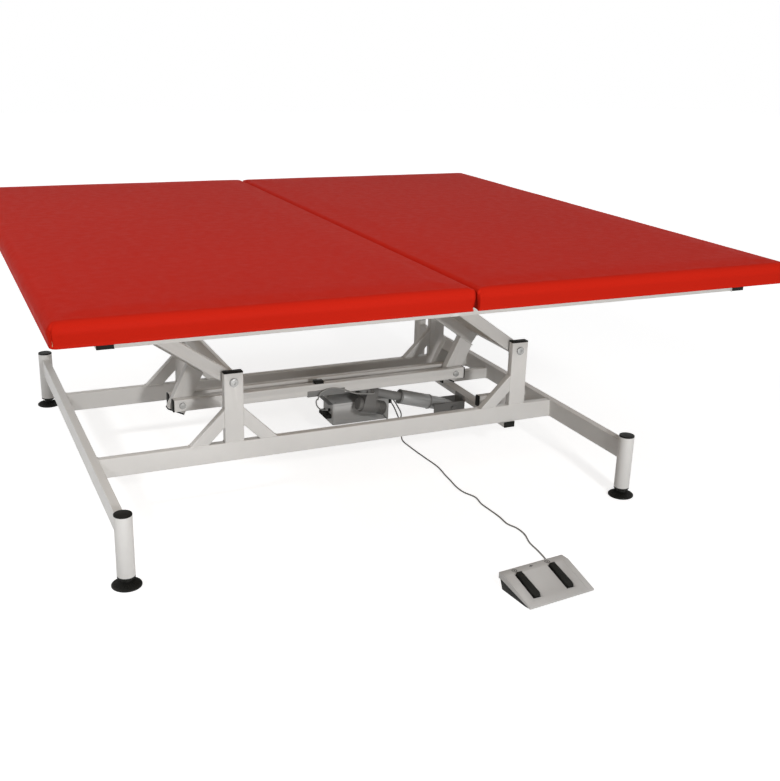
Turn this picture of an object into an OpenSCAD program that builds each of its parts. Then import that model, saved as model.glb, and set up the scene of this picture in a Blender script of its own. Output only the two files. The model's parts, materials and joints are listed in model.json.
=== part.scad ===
// Height-adjustable treatment table with a wide padded top, shown part way up.
// Millimetres, +Z up. The origin lies on the floor, midway between the four legs.
// +X runs along the two long rails, and the foot switch stands on the -Y side.

/* [Legs and feet] */
// Distance between leg centres along the long rails
leg_span_x = 1566; // [1400:1:1700]
// Distance between leg centres along the end bars
leg_span_y = 1474; // [1200:1:1700]
// Outer diameter of a leg tube
leg_d = 48.3; // [42:0.1:60]
// Wall of a leg tube
leg_wall = 2; // [1.5:0.1:4]
// Length of a leg tube
leg_l = 171; // [160:1:220]
// Height of a leg tube's lower end above the floor
leg_z = 31; // [28:1:45]
// Thickness of the cap on a leg
leg_cap_t = 4.5; // [3:0.5:8]
// Flange thickness of the threaded plug under a leg
leg_plug_t = 5; // [3:0.5:8]
// Length that caps and plugs reach into a tube
insert_l = 24; // [12:1:30]
// Diameter of a levelling foot
foot_d = 80; // [60:1:100]
// Diameter of a levelling foot's stem
foot_stem_d = 12; // [8:1:16]
// Height of a foot's rim
foot_rim_h = 5; // [3:0.5:8]

/* [Base frame] */
// Height of the rails, end bars and their tube
rail_h = 60; // [50:1:80]
// Width of the rails, end bars, posts and braces
rail_w = 25; // [20:1:30]
// Wall of the square and flat tubes
tube_wall = 2; // [1.5:0.1:3]
// Height of the rails' underside above the floor
rail_z = 124; // [115:1:140]
// Distance from the middle to a long rail's centre
rail_y = 304; // [270:1:400]
// Width of a post along the rail
post_w = 60; // [50:1:70]
// Height of a post above its rail
post_h = 220; // [200:1:240]
// Thickness of the flat plastic caps on tube ends
cap_t = 5; // [3:0.5:8]
// Distance of the crank pivots below the top of a post
pivot_drop = 28; // [24:1:36]
// Depth of a brace tube
brace_h = 40; // [30:1:45]
// Distance that a brace's foot stands out from its post
brace_reach = 108; // [90:1:130]
// Width of the cross tube under the rails
cross_w = 40; // [30:1:50]
// Height of the cross tube under the rails
cross_h = 20; // [15:1:30]
// Distance from the right crank's pivot back to the cross tube's centre
cross_back = 24; // [10:1:34]
// Distance from the middle to a stub tube's centre
stub_y = 140; // [100:1:200]
// Height of a stub tube
stub_h = 40; // [36:1:60]
// Length that a stub tube reaches past the cross tube
stub_over = 5; // [0:1:20]

/* [Cranks] */
// Place of the left crank's pivot along the rails
left_pivot_x = -363; // [-380:1:-340]
// Distance between the two crank pivots
pivot_span = 997; // [960:1:1010]
// Length of a crank arm from pivot to pivot
arm_l = 500; // [480:1:505]
// Angle of the arms above the level, as shown
arm_rise = 35.2; // [30:0.1:40]
// Depth of an arm tube
arm_h = 40; // [30:1:44]
// Width of a side arm tube
arm_w = 25; // [20:1:30]
// Length of an arm past its pivot
arm_end = 18; // [16:1:20]
// Width of the middle arm tube
mid_arm_w = 30; // [25:1:34]
// Side of the lower cross tube of a crank
torsion_w = 40; // [34:1:44]
// Diameter of the upper cross tube of a crank
upper_tube_d = 40; // [34:1:44]
// Diameter of a crank pivot bolt
pivot_d = 16; // [12:1:20]
// Thickness of the spacers and ears beside the side arms
spacer_t = 5; // [3:0.5:8]
// Radius from a crank pivot to its lever pin
lever_r = 181; // [170:1:190]
// Angle of the lever pin behind the plumb line, as shown
lever_back = 31; // [28:0.5:34]
// Lean of the lever tube from the plumb line, as shown
lever_lean = 26; // [22:0.5:28]
// Width of a lever tube along the rails
lever_w = 60; // [50:1:64]
// Width of a lever tube across the rails
lever_t = 30; // [24:1:32]
// Length of a lever below its pin
lever_tail = 30; // [24:1:40]
// Distance from the middle to the right crank's second lever
second_y = 98; // [90:1:120]
// Width of the second lever across the rails
second_t = 25; // [20:1:30]
// Width of the second lever along the rails
second_w = 40; // [34:1:50]
// Side of the tube that ties the two levers
tie_w = 40; // [30:1:44]
// Height of the tie above the lever pin, along the lever
tie_up = 75; // [60:1:90]

/* [Push bars] */
// Height of a push bar tube
bar_h = 40; // [34:1:50]
// Width of a push bar tube
bar_w = 25; // [20:1:30]
// Distance from the middle to a push bar's centre
bar_y = 33; // [31:0.5:36]
// Length of a push bar past the left lever pin
bar_left = 26; // [24:1:50]
// Length of a push bar past the right lever pin
bar_right = 32; // [28:1:45]
// Diameter of the lever pins and actuator pins
pin_d = 12; // [10:1:14]
// Diameter of the bolt heads and nuts on the pins
head_d = 22; // [18:1:26]
// Thickness of the bolt heads and nuts
head_t = 6; // [4:1:8]

/* [Actuator] */
// Distance from the right crank's pivot back to the actuator's front pin
front_pin_back = 444; // [440:1:450]
// Distance of the front pin below the push bars
front_pin_drop = 15; // [14:1:20]
// Slope of the actuator below the level, as shown
act_slope = 16; // [14:0.5:18]
// Distance between the actuator's two pins, as shown
act_l = 369; // [364:1:374]
// Distance from the actuator's axis down to the motor's axis
motor_drop = 52; // [52:1:60]
// Diameter of the motor barrel
motor_d = 50; // [44:1:50]
// Length of the dark ribbed end of the motor
tail_l = 34; // [24:1:40]
// Length of the plain motor barrel past the gearbox
barrel_l = 16; // [10:1:30]
// Length of the gearbox along the axis
gearbox_l = 42; // [36:1:50]
// Diameter of the inner tube
inner_d = 42; // [36:1:44]
// Place of the sleeve's mouth along the axis, as shown
sleeve_u = 154; // [150:1:160]
// Diameter of the sleeve
sleeve_d = 52; // [48:1:52]
// Length of the sleeve's wide part up to its end ring
sleeve_l = 120; // [100:1:130]
// Length of the sleeve's rear part past the ring
sleeve_rear_l = 62; // [50:1:66]
// Length of inner tube inside the sleeve, as shown
engaged_l = 84; // [70:1:86]
// Inner width between the cheeks of the rear bracket
bracket_gap = 62; // [60:1:80]
// Height of the rear bracket's web
bracket_h = 56; // [50:1:60]
// Height of the rear bracket's cheeks
cheek_h = 40; // [36:1:50]
// Length of the rear bracket's cheeks
bracket_l = 125; // [110:1:135]
// Thickness of the bracket, clevis and hanger plates
plate_t = 5; // [3:0.5:6]

/* [Control box] */
// Length of the control box along the rails
box_l = 220; // [180:1:240]
// Depth of the control box across the rails
box_w = 100; // [80:1:120]
// Height of the control box
box_h = 80; // [60:1:84]
// Length of the control box to the left of the actuator's front pin
box_before = 88; // [80:1:100]
// Place of the control box's near face across the rails
box_y = 44; // [44:1:60]
// Distance of the box's top below the push bars
box_drop = 75; // [70:1:80]
// Height of the box's lid
lid_h = 9; // [6:1:14]
// Wall of the box
box_wall = 2.5; // [2:0.5:4]
// Height of the hanger's front lip on the near push bar
lip_h = 18; // [12:1:24]

/* [Upper frame] */
// Side of the upper frame's tubes
frame_w = 40; // [30:1:50]
// Distance of the arm pivots below the upper frame
ear_drop = 29; // [28:1:34]
// Width of an ear plate
ear_w = 60; // [40:1:80]
// Distance between the centres of the two end tubes
frame_span = 1824; // [1700:1:1900]
// Distance from the ears' pivots back to the tube on their left
tube_back = 56.4; // [52:0.1:60]
// Half the outer width of the upper frame
frame_half_w = 900; // [800:1:960]

/* [Pads] */
// Length of the padded top along the rails
top_l = 2060; // [1960:1:2200]
// Width of the padded top
top_w = 2000; // [1900:1:2200]
// Distance from the left end tube's centre to the line between the two pads
divide_in = 895; // [880:1:910]
// Height of a pad with its board
pad_h = 55; // [45:1:80]
// Thickness of the board inside a pad
board_t = 15; // [10:1:18]
// Inset of the board from the pad's outline
board_inset = 12; // [8:1:20]
// Radius of a pad's upper edges
pad_edge_r = 16; // [10:1:20]
// Radius of a pad's corners, seen from above
pad_corner_r = 22; // [15:1:40]
// Rise of a pad's crown
pad_crown = 2; // [0:0.5:6]
// Gap between the two pads at their widest
pad_gap = 1; // [0.6:0.1:4]

/* [Foot switch] */
// Width of the foot switch
sw_w = 212; // [190:1:240]
// Depth of the foot switch
sw_l = 138; // [134:1:160]
// Height of the foot switch at its back
sw_h = 45; // [43:1:60]
// Height of the foot switch at its front edge
sw_front_h = 9; // [8:1:14]
// Depth of the flat strip along the back
sw_strip = 27; // [20:1:35]
// Height of the shell's side at the back
sw_side = 17; // [14:1:22]
// Wall of the foot switch's shell
sw_wall = 2.5; // [2:0.5:3]
// Width of a pedal at its back end
pedal_w0 = 16; // [12:1:20]
// Width of a pedal at its front end
pedal_w1 = 22; // [18:1:28]
// Length of a pedal
pedal_l = 88; // [70:1:92]
// Height of a pedal above the sloping face
pedal_h = 8; // [5:1:12]
// Distance between the two pedals
pedal_span = 110; // [90:1:120]
// Diameter of a pedal's pin
pedal_pin_d = 4; // [3:0.5:5]

/* [Cords] */
// Diameter of the foot switch's cord
cord_d = 5; // [4.5:0.1:6]
// Diameter of the actuator's two leads
lead_d = 5; // [4:0.1:6]

/* [Hidden] */
$fn = 48;

// Clearances: a running fit, a sliding gap, and how far cutting shapes overrun.
fit = 0.05;
gap = 0.3;
over = 1;

white = [0.82, 0.815, 0.80];
black = [0.10, 0.10, 0.09];
steel = [0.62, 0.62, 0.61];
grey = [0.55, 0.54, 0.53];
dark_grey = [0.33, 0.33, 0.32];
shell_grey = [0.70, 0.69, 0.67];
red = [0.80, 0.15, 0.10];
ply = [0.78, 0.64, 0.45];

leg_x = leg_span_x / 2;
leg_y = leg_span_y / 2;
rail_top = rail_z + rail_h;
bar_face_x = leg_x - rail_w / 2;
post_in = rail_y - rail_w / 2;
post_out = rail_y + rail_w / 2;
post_top = rail_top + post_h;
pivot_z = post_top - pivot_drop;
right_pivot_x = left_pivot_x + pivot_span;
arm_out = post_in - spacer_t - gap;
arm_in = arm_out - arm_w;
cross_x = right_pivot_x - cross_back;

// Crank frame: origin at the pivot, arm along -X, turned up by arm_rise.
pin_back = lever_r * sin(lever_back);
pin_down = lever_r * cos(lever_back);
pin_z = pivot_z - pin_down;
lever_tilt = lever_lean - arm_rise;
lever_pin_x = -pin_back * cos(arm_rise) + pin_down * sin(arm_rise);
lever_pin_z = -pin_back * sin(arm_rise) - pin_down * cos(arm_rise);
mid_arm_top = -torsion_w / 2;
mid_arm_low = mid_arm_top - arm_h;
pivot_head_d = pivot_d + 12;
boss_d = pivot_d + 12;

bar_x0 = left_pivot_x - pin_back - bar_left;
bar_x1 = right_pivot_x - pin_back + bar_right;
bar_low = pin_z - bar_h / 2;
bar_out = bar_y + bar_w / 2;
bar_in = bar_y - bar_w / 2;

// Actuator frame: origin at the front pin, +X along the axis to the rear pin.
front_pin_x = right_pivot_x - front_pin_back;
front_pin_z = bar_low - front_pin_drop;
clevis_gap = 30;
clevis_w = 40;
lug_w = clevis_gap - 2 * gap;
lug_r = 11;
gearbox_u = 16;
gearbox_r = 25;
gearbox_end = gearbox_u + gearbox_l;
front_cover_l = 14;
motor_end = gearbox_end + barrel_l + tail_l;
rib_count = 5;
rib_depth = 2.5;
flange_t = 7;
flange_over = 1;
ring_t = 6;
sleeve_ring_u = sleeve_u + sleeve_l;
sleeve_end = sleeve_ring_u + sleeve_rear_l;
sleeve_bore = inner_d + 2 * fit;
sleeve_rear_d = sleeve_d - 4;
eye_r = 17;
eye_w = 38;
eye_pin_l = bracket_gap - 4;
screw_d = 16;
rear_pin_x = front_pin_x + act_l * cos(act_slope);
rear_pin_z = front_pin_z - act_l * sin(act_slope);
outlet_l = 4;
outlet_d = 10;
lead_outlet_u = 30;
lead_outlet_z = 8;

box_x = front_pin_x - box_before;
box_top = bar_low - box_drop;
box_z = box_top - box_h;
box_end = box_x + box_l;
box_corner_r = 8;
lip_before = 130;
lip_l = 136;
plate_l = 178;
back_plate_in = 10;
back_plate_up = 15;
back_plate_l = 188;
lip_x0 = box_x - lip_before;
hanger_x1 = lip_x0 + plate_l;
hanger_back_x = box_x + back_plate_l;
hanger_t = 3;
plug_l = 12;
plug_w = 16;
plug_h = 14;
cord_plug_y = 58;
lead_plug_y = 82;
plug_z = 108;
boot_l = 4;
left_gland_y = 72;
left_gland_z = 97;

frame_z = pivot_z + arm_l * sin(arm_rise) + ear_drop;
frame_top = frame_z + frame_w;
upper_z = frame_z - ear_drop;
left_upper_x = left_pivot_x - arm_l * cos(arm_rise);
right_upper_x = right_pivot_x - arm_l * cos(arm_rise);
frame_x0 = left_upper_x - tube_back;
frame_x1 = frame_x0 + frame_span;
divide_x = frame_x0 + divide_in;
brace_tube_x = right_upper_x - tube_back;
edge_y = frame_half_w - frame_w / 2;
frame_cap_t = 3;

pad_l = (top_l - pad_gap) / 2;

// Foot switch frame: origin on the floor under the middle of the back edge.
sw_right = 33.5;
sw_x = front_pin_x + sw_right;
sw_y = -1093;
sw_turn = 6;
sw_slope = atan((sw_h - sw_front_h) / (sw_l - sw_strip));
sw_base_back = 15;
sw_base_front = 25;
sw_rim = 5;
pedal_mid = -10;
pedal_start = 3;
pedal_sink = 7;
pedal_slot = 1.2;
lug_len = 10;
gland_d = 10;
sw_gland_x = 75;
sw_gland_z = 17;
sw_gland_out = 2;
seam_w = 0.8;
seam_x = 88;

// The routes' points measure X from the actuator's front pin.
// Route of the free cord from the side of its plug to the split, in mid air.
drop_route = [
    [138, 46, 108], [138, 41, 107.3], [138.5, 34, 104], [140, 24, 98], [141, 12, 89],
    [141.5, 0, 80], [141.5, -11, 72.5], [141, -21, 67.5], [141, -32, 66]
];
// Route of the free cord over the floor, from the split to the foot switch.
floor_route = [
    [141, -32, 66], [140, -42, 62], [137, -53, 44], [133, -62, 22], [131, -74, 7],
    [131, -96, 2.5], [132, -140, 2.5], [134, -190, 2.5], [138, -250, 2.5], [143, -330, 2.5],
    [135, -400, 2.5], [131, -443, 2.5], [125, -500, 2.5], [128, -545, 2.5], [144, -590, 2.5],
    [138, -640, 2.5], [141, -690, 2.5], [144, -740, 2.5], [142, -790, 2.5], [154, -826, 2.5],
    [154, -870, 2.5], [140, -920, 2.5], [136, -970, 2.5], [130, -1012, 3], [118, -1044, 8.5],
    [109.5, -1062, 14.5], [107, -1073, 17], [107.85, -1082.9, 17]
];
// Route of the motor's lead, from the box's left end over the lip to the gearbox.
motor_route = [
    [-96.3, 72, 97], [-108, 71, 98], [-132, 56, 110], [-154, 30, 134], [-168, 2, 160],
    [-176, -26, 178], [-181, -48, 187], [-181, -57, 200], [-174, -58, 213], [-156, -57, 222],
    [-130, -55, 224], [-98, -55, 218], [-74, -55, 208], [-52, -54, 198], [-24, -53, 191],
    [6, -52, 187], [24, -50, 185.3], [30.5, -44, 185.3], [31, -33.3, 185.3]
];
// Route of the limit switches' lead, which hangs in a loop beside the box.
limit_route = [
    [49.1, 29.3, 117.7], [49.8, 33, 117.7], [57, 37, 116.5], [78, 38, 111], [93, 38, 98],
    [101, 38, 80], [112, 38, 58], [132, 38, 41], [158, 42, 34], [182, 52, 37], [189, 62, 52],
    [179, 71, 76], [168, 78, 96], [158, 81.5, 106], [144.3, 82, 108]
];

function unit(v) = v / norm(v);

// Point between p[i] and p[i + 1] on a smooth curve through all of them.
function between(p, i, t) =
    let (a = p[max(i - 1, 0)], b = p[i], c = p[i + 1], d = p[min(i + 2, len(p) - 1)])
    0.5 * (2 * b + (c - a) * t + (2 * a - 5 * b + 4 * c - d) * t * t
        + (3 * b - a - 3 * c + d) * t * t * t);

function smooth(p, steps) =
    concat([for (i = [0 : len(p) - 2], s = [0 : steps - 1]) between(p, i, s / steps)], [p[len(p) - 1]]);

function headings(path, first, last) = [
    for (i = [0 : len(path) - 1])
        i == 0 ? first : i == len(path) - 1 ? last : unit(path[i + 1] - path[i - 1])
];

// A side direction for each ring, carried along so that the tube doesn't twist.
function carried(dirs, side, i = 0) =
    i == len(dirs) ? [] :
    let (s = unit(side - (side * dirs[i]) * dirs[i]))
    concat([s], carried(dirs, s, i + 1));

function ring(centre, dir, side, r, n) = [
    for (j = [0 : n - 1])
        centre + r * (cos(360 * j / n) * side + sin(360 * j / n) * cross(dir, side))
];

module swept_tube(route, steps, d, first, last, side) {
    n = 8;
    path = smooth(route, steps);
    dirs = headings(path, first, last);
    marks = carried(dirs, side);
    rings = len(path);
    points = [for (i = [0 : rings - 1]) each ring(path[i], dirs[i], marks[i], d / 2, n)];
    walls = [
        for (i = [0 : rings - 2], j = [0 : n - 1])
            let (a = i * n + j, b = i * n + (j + 1) % n)
            each [[a, a + n, b + n], [a, b + n, b]]
    ];
    ends = [[for (j = [0 : n - 1]) j], [for (j = [n - 1 : -1 : 0]) (rings - 1) * n + j]];
    polyhedron(points = points, faces = concat(ends, walls));
}

// Hollow tube along X from the origin, centred on Y and Z.
module tube_x(l, w, h, wall) {
    difference() {
        translate([0, -w / 2, -h / 2]) cube([l, w, h]);
        translate([-over, -w / 2 + wall, -h / 2 + wall])
            cube([l + 2 * over, w - 2 * wall, h - 2 * wall]);
    }
}

// Hollow tube along Y from y0 to y1, centred on X and Z.
module tube_y(y0, y1, w, h, wall) {
    translate([0, y0, 0]) rotate([0, 0, 90]) tube_x(y1 - y0, w, h, wall);
}

// Hollow tube along Z from the origin, centred on X and Y.
module tube_z(l, w, t, wall) {
    rotate([0, -90, 0]) tube_x(l, t, w, wall);
}

// Flat cap on a tube that ends at the origin and opens toward +X, with its insert.
module cap_x(w, h, wall, t, insert) {
    translate([0, -w / 2, -h / 2]) cube([t, w, h]);
    translate([-insert, -w / 2 + wall + fit, -h / 2 + wall + fit])
        cube([insert + over, w - 2 * wall - 2 * fit, h - 2 * wall - 2 * fit]);
}

module rod_y(y0, y1, d) {
    translate([0, y1, 0]) rotate([90, 0, 0]) cylinder(h = y1 - y0, d = d);
}

// Flat plate in the XZ plane from y0 to y1.
module plate_y(points, y0, y1) {
    translate([0, y1, 0]) rotate([90, 0, 0]) linear_extrude(y1 - y0) polygon(points);
}

module rounded_plan(l, w, r) {
    square([l - 2 * r, w], center = true);
    square([l, w - 2 * r], center = true);
    for (x = [-1, 1], y = [-1, 1])
        translate([x * (l / 2 - r), y * (w / 2 - r)]) circle(r);
}

module at_legs() {
    for (x = [-leg_x, leg_x], y = [-leg_y, leg_y]) translate([x, y, 0]) children();
}

module at_posts() {
    for (x = [left_pivot_x, right_pivot_x], s = [-1, 1])
        translate([x, s * rail_y, 0]) facing_out(s) children();
}

// Mirrors toward the far side when s is 1, so that -Y always points outward.
module facing_out(s) {
    if (s > 0) mirror([0, 1, 0]) children();
    else children();
}

module both_sides() {
    children();
    mirror([0, 1, 0]) children();
}

module at_crank(x) {
    translate([x, 0, pivot_z]) rotate([0, arm_rise, 0]) children();
}

module at_actuator() {
    translate([front_pin_x, 0, front_pin_z]) rotate([0, act_slope, 0]) children();
}

module at_front_pin() {
    translate([front_pin_x, 0, 0]) children();
}

module at_switch() {
    translate([sw_x, sw_y, 0]) rotate([0, 0, sw_turn]) children();
}

module at_slope(x) {
    translate([x, -sw_strip, sw_h]) rotate([sw_slope, 0, 0]) children();
}

module legs() {
    color(white) at_legs() translate([0, 0, leg_z]) difference() {
        cylinder(h = leg_l, d = leg_d);
        translate([0, 0, -over]) cylinder(h = leg_l + 2 * over, d = leg_d - 2 * leg_wall);
    }
}

module leg_caps() {
    bevel = 1;
    color(black) at_legs() translate([0, 0, leg_z + leg_l]) {
        rotate_extrude() polygon([
            [0, 0], [leg_d / 2, 0], [leg_d / 2, leg_cap_t - bevel],
            [leg_d / 2 - bevel, leg_cap_t], [0, leg_cap_t]
        ]);
        translate([0, 0, -insert_l]) cylinder(h = insert_l + over, d = leg_d - 2 * leg_wall - 2 * fit);
    }
}

module leg_plugs() {
    color(black) at_legs() translate([0, 0, leg_z]) difference() {
        union() {
            translate([0, 0, -leg_plug_t]) cylinder(h = leg_plug_t, d = leg_d);
            translate([0, 0, -over])
                cylinder(h = insert_l + over, d = leg_d - 2 * leg_wall - 2 * fit);
        }
        translate([0, 0, -leg_plug_t - over])
            cylinder(h = insert_l + leg_plug_t + 2 * over, d = foot_stem_d + 2 * fit);
    }
}

module levelling_foot() {
    neck_r = foot_stem_d / 2 + 5;
    top = leg_z - leg_plug_t - gap;
    stem_top = leg_z + insert_l - over;
    rotate_extrude() polygon([
        [0, 0], [foot_d / 2, 0], [foot_d / 2, foot_rim_h], [foot_d / 2 - 3, foot_rim_h + 2.5],
        [neck_r + 3, foot_rim_h + 9], [neck_r, foot_rim_h + 11], [neck_r, top],
        [foot_stem_d / 2, top], [foot_stem_d / 2, stem_top], [0, stem_top]
    ]);
}

module front_left_foot() {
    color(black) translate([-leg_x, -leg_y, 0]) levelling_foot();
}

module front_right_foot() {
    color(black) translate([leg_x, -leg_y, 0]) levelling_foot();
}

module rear_left_foot() {
    color(black) translate([-leg_x, leg_y, 0]) levelling_foot();
}

module rear_right_foot() {
    color(black) translate([leg_x, leg_y, 0]) levelling_foot();
}

// The end bars run from leg to leg and are coped round them.
module end_bars() {
    color(white) for (x = [-leg_x, leg_x]) translate([x, 0, rail_z + rail_h / 2]) difference() {
        tube_y(-leg_y, leg_y, rail_w, rail_h, tube_wall);
        for (y = [-leg_y, leg_y]) translate([0, y, -rail_h])
            cylinder(h = 2 * rail_h, d = leg_d + 2 * fit);
    }
}

module long_rails() {
    color(white) for (y = [-rail_y, rail_y])
        translate([-bar_face_x, y, rail_z + rail_h / 2]) tube_x(2 * bar_face_x, rail_w, rail_h, tube_wall);
}

// Each post holds its pivot bolt in a welded sleeve.
module posts() {
    color(white) at_posts() difference() {
        union() {
            translate([0, 0, rail_top]) tube_z(post_h, post_w, rail_w, tube_wall);
            translate([0, 0, pivot_z]) rod_y(-rail_w / 2 + over, rail_w / 2 - over, boss_d);
        }
        translate([0, 0, pivot_z]) rod_y(-rail_w, rail_w, pivot_d + 2 * fit);
    }
}

// A brace at 45 degrees from the rail to the post, on the post's left side.
module brace(x) {
    foot = brace_h * sqrt(2);
    reach = brace_reach;
    lip = tube_wall * sqrt(2);
    difference() {
        plate_y([[x - reach, rail_top], [x - reach + foot, rail_top],
                 [x, rail_top + reach - foot], [x, rail_top + reach]], -rail_w / 2, rail_w / 2);
        plate_y([[x - reach + lip - over, rail_top - over],
                 [x - reach + foot - lip - over, rail_top - over],
                 [x + over, rail_top + reach - foot + lip + over],
                 [x + over, rail_top + reach - lip + over]],
                -rail_w / 2 + tube_wall, rail_w / 2 - tube_wall);
    }
}

module post_braces() {
    color(white) for (y = [-rail_y, rail_y]) translate([0, y, 0]) {
        brace(left_pivot_x - post_w / 2);
        mirror([1, 0, 0]) brace(-left_pivot_x - post_w / 2);
        brace(right_pivot_x - post_w / 2);
    }
}

module base_tube_caps() {
    post_insert = pivot_drop - boss_d / 2 - over;
    color(black) {
        at_posts() translate([0, 0, post_top]) rotate([0, -90, 0])
            cap_x(rail_w, post_w, tube_wall, cap_t, post_insert);
        both_sides() translate([cross_x, post_out, rail_z - cross_h / 2]) rotate([0, 0, 90])
            cap_x(cross_w, cross_h, tube_wall, cap_t, insert_l);
        both_sides() translate([cross_x - cross_w / 2 - stub_over, stub_y, rail_z + stub_h / 2 + fit])
            rotate([0, 0, 180]) cap_x(rail_w, stub_h, tube_wall, cap_t, insert_l);
    }
}

module pivot_spacers() {
    spacer_w = 54;
    spacer_h = 46;
    color(black) at_posts() difference() {
        translate([-spacer_w / 2, rail_w / 2, pivot_z - spacer_h / 2]) cube([spacer_w, spacer_t, spacer_h]);
        translate([0, 0, pivot_z]) rod_y(0, rail_w, pivot_d + 2 * fit);
    }
}

// Bolt with its head at y0 and its shank toward +Y.
module pivot_bolt(l) {
    rod_y(-head_t, 0, pivot_head_d);
    rod_y(-over, l, pivot_d);
}

module crank_pivot_bolts() {
    color(steel) at_posts() translate([0, -rail_w / 2, pivot_z])
        pivot_bolt(rail_w + spacer_t + gap + arm_w - over);
}

// Cross tube under the rails, and two stub tubes from it to the right end bar.
module support_tubes() {
    stub_x = cross_x - cross_w / 2 - stub_over;
    color(white) {
        translate([cross_x, 0, rail_z - cross_h / 2])
            tube_y(-post_out, post_out, cross_w, cross_h, tube_wall);
        for (y = [-stub_y, stub_y]) translate([stub_x, y, rail_z + stub_h / 2 + fit])
            tube_x(bar_face_x - stub_x, rail_w, stub_h, tube_wall);
    }
}

// Two cheeks and a web, welded to the cross tube, with the heads of the rear bolt.
module actuator_bracket() {
    x1 = cross_x - cross_w / 2;
    x0 = x1 - bracket_l;
    z0 = rail_z - bracket_h;
    color(dark_grey) {
        both_sides() {
            translate([x0, bracket_gap / 2, z0]) cube([bracket_l, plate_t, cheek_h]);
            translate([rear_pin_x, 0, rear_pin_z])
                rod_y(bracket_gap / 2 + plate_t - over, bracket_gap / 2 + plate_t + head_t, head_d);
        }
        translate([x1 - plate_t, -bracket_gap / 2 - over, z0])
            cube([plate_t, bracket_gap + 2 * over, bracket_h]);
    }
}

module side_arms() {
    color(white) both_sides() difference() {
        union() {
            translate([-arm_l - arm_end, -(arm_in + arm_out) / 2, 0])
                tube_x(arm_l + 2 * arm_end, arm_w, arm_h, tube_wall);
            for (x = [-arm_l, 0]) translate([x, 0, 0]) rod_y(-arm_out + over, -arm_in - over, boss_d);
            for (x = [-arm_l - arm_end, arm_end - tube_wall])
                translate([x, -arm_out, -arm_h / 2]) cube([tube_wall, arm_w, arm_h]);
        }
        for (x = [-arm_l, 0]) translate([x, 0, 0]) rod_y(-arm_out - over, -arm_in + over, pivot_d + 2 * fit);
    }
}

module crank_cross_tubes() {
    color(white) {
        tube_y(-arm_in, arm_in, torsion_w, torsion_w, tube_wall);
        translate([-arm_l, 0, 0]) difference() {
            rod_y(-arm_in, arm_in, upper_tube_d);
            rod_y(-arm_in - over, arm_in + over, upper_tube_d - 2 * tube_wall);
        }
    }
}

module crank_middle_arm() {
    color(white) translate([-arm_l - arm_end, 0, (mid_arm_top + mid_arm_low) / 2])
        tube_x(arm_l + 2 * arm_end, mid_arm_w, arm_h, tube_wall);
}

// Lever under the middle arm, from its square-cut lower end up to the arm.
module main_lever() {
    reach = lever_r + lever_w;
    difference() {
        at_lever() lever_tube(0, lever_w, lever_t, reach);
        translate([-reach, -lever_t, mid_arm_low]) cube([2 * reach, 2 * lever_t, reach]);
    }
}

// Lever tube with a sleeve for its pin, from the tail up to the height top above the pin.
module lever_tube(y, w, t, top) {
    difference() {
        union() {
            translate([0, y, -lever_tail]) tube_z(lever_tail + top, w, t, tube_wall);
            rod_y(y - t / 2 + over, y + t / 2 - over, pin_d + 10);
        }
        rod_y(y - t, y + t, pin_d + 2 * fit);
    }
}

module at_lever() {
    translate([lever_pin_x, 0, lever_pin_z]) rotate([0, lever_tilt, 0]) children();
}

// Cap with a short plug, clear of the pin's sleeve.
module lever_cap(y, w, t) {
    plug = lever_tail - pin_d - 5;
    color(black) at_lever() translate([0, y, -lever_tail]) rotate([0, 90, 0])
        cap_x(t, w, tube_wall, cap_t, plug);
}

module left_side_arms() {
    at_crank(left_pivot_x) side_arms();
}

module left_cross_tubes() {
    at_crank(left_pivot_x) crank_cross_tubes();
}

module left_middle_arm() {
    at_crank(left_pivot_x) crank_middle_arm();
}

module left_lever() {
    color(white) at_crank(left_pivot_x) main_lever();
}

module left_lever_cap() {
    at_crank(left_pivot_x) lever_cap(0, lever_w, lever_t);
}

module right_side_arms() {
    at_crank(right_pivot_x) side_arms();
}

module right_cross_tubes() {
    at_crank(right_pivot_x) crank_cross_tubes();
}

module right_middle_arm() {
    at_crank(right_pivot_x) crank_middle_arm();
}

// The lever, a short second one further back and the tube that ties them.
module right_levers() {
    color(white) at_crank(right_pivot_x) {
        main_lever();
        at_lever() {
            lever_tube(second_y, second_w, second_t, tie_up + tie_w / 2);
            translate([0, 0, tie_up])
                tube_y(lever_t / 2, second_y - second_t / 2, tie_w, tie_w, tube_wall);
        }
    }
}

module right_lever_caps() {
    at_crank(right_pivot_x) {
        lever_cap(0, lever_w, lever_t);
        lever_cap(second_y, second_w, second_t);
    }
}

module at_lever_pins() {
    for (x = [left_pivot_x, right_pivot_x]) translate([x - pin_back, 0, pin_z]) children();
}

module push_bars() {
    color(white) difference() {
        union() {
            both_sides() translate([bar_x0, bar_y, pin_z]) tube_x(bar_x1 - bar_x0, bar_w, bar_h, tube_wall);
            at_lever_pins() both_sides() rod_y(bar_in + over, bar_out - over, pin_d + 8);
        }
        at_lever_pins() rod_y(-bar_out - over, bar_out + over, pin_d + 2 * fit);
    }
}

// Caps in the bar ends, shorter inside than the other tube caps, and a cable clip.
module push_bar_caps() {
    plug = bar_left - pin_d - 2;
    clip_x = front_pin_x - 190;
    clip_l = 32;
    clip_h = 10;
    color(black) {
        both_sides() for (s = [0, 1]) translate([s == 0 ? bar_x0 : bar_x1, bar_y, pin_z])
            mirror([1 - s, 0, 0]) cap_x(bar_w, bar_h, tube_wall, cap_t, plug);
        translate([clip_x, -bar_out, pin_z + bar_h / 2]) cube([clip_l, bar_w, clip_h]);
    }
}

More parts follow.
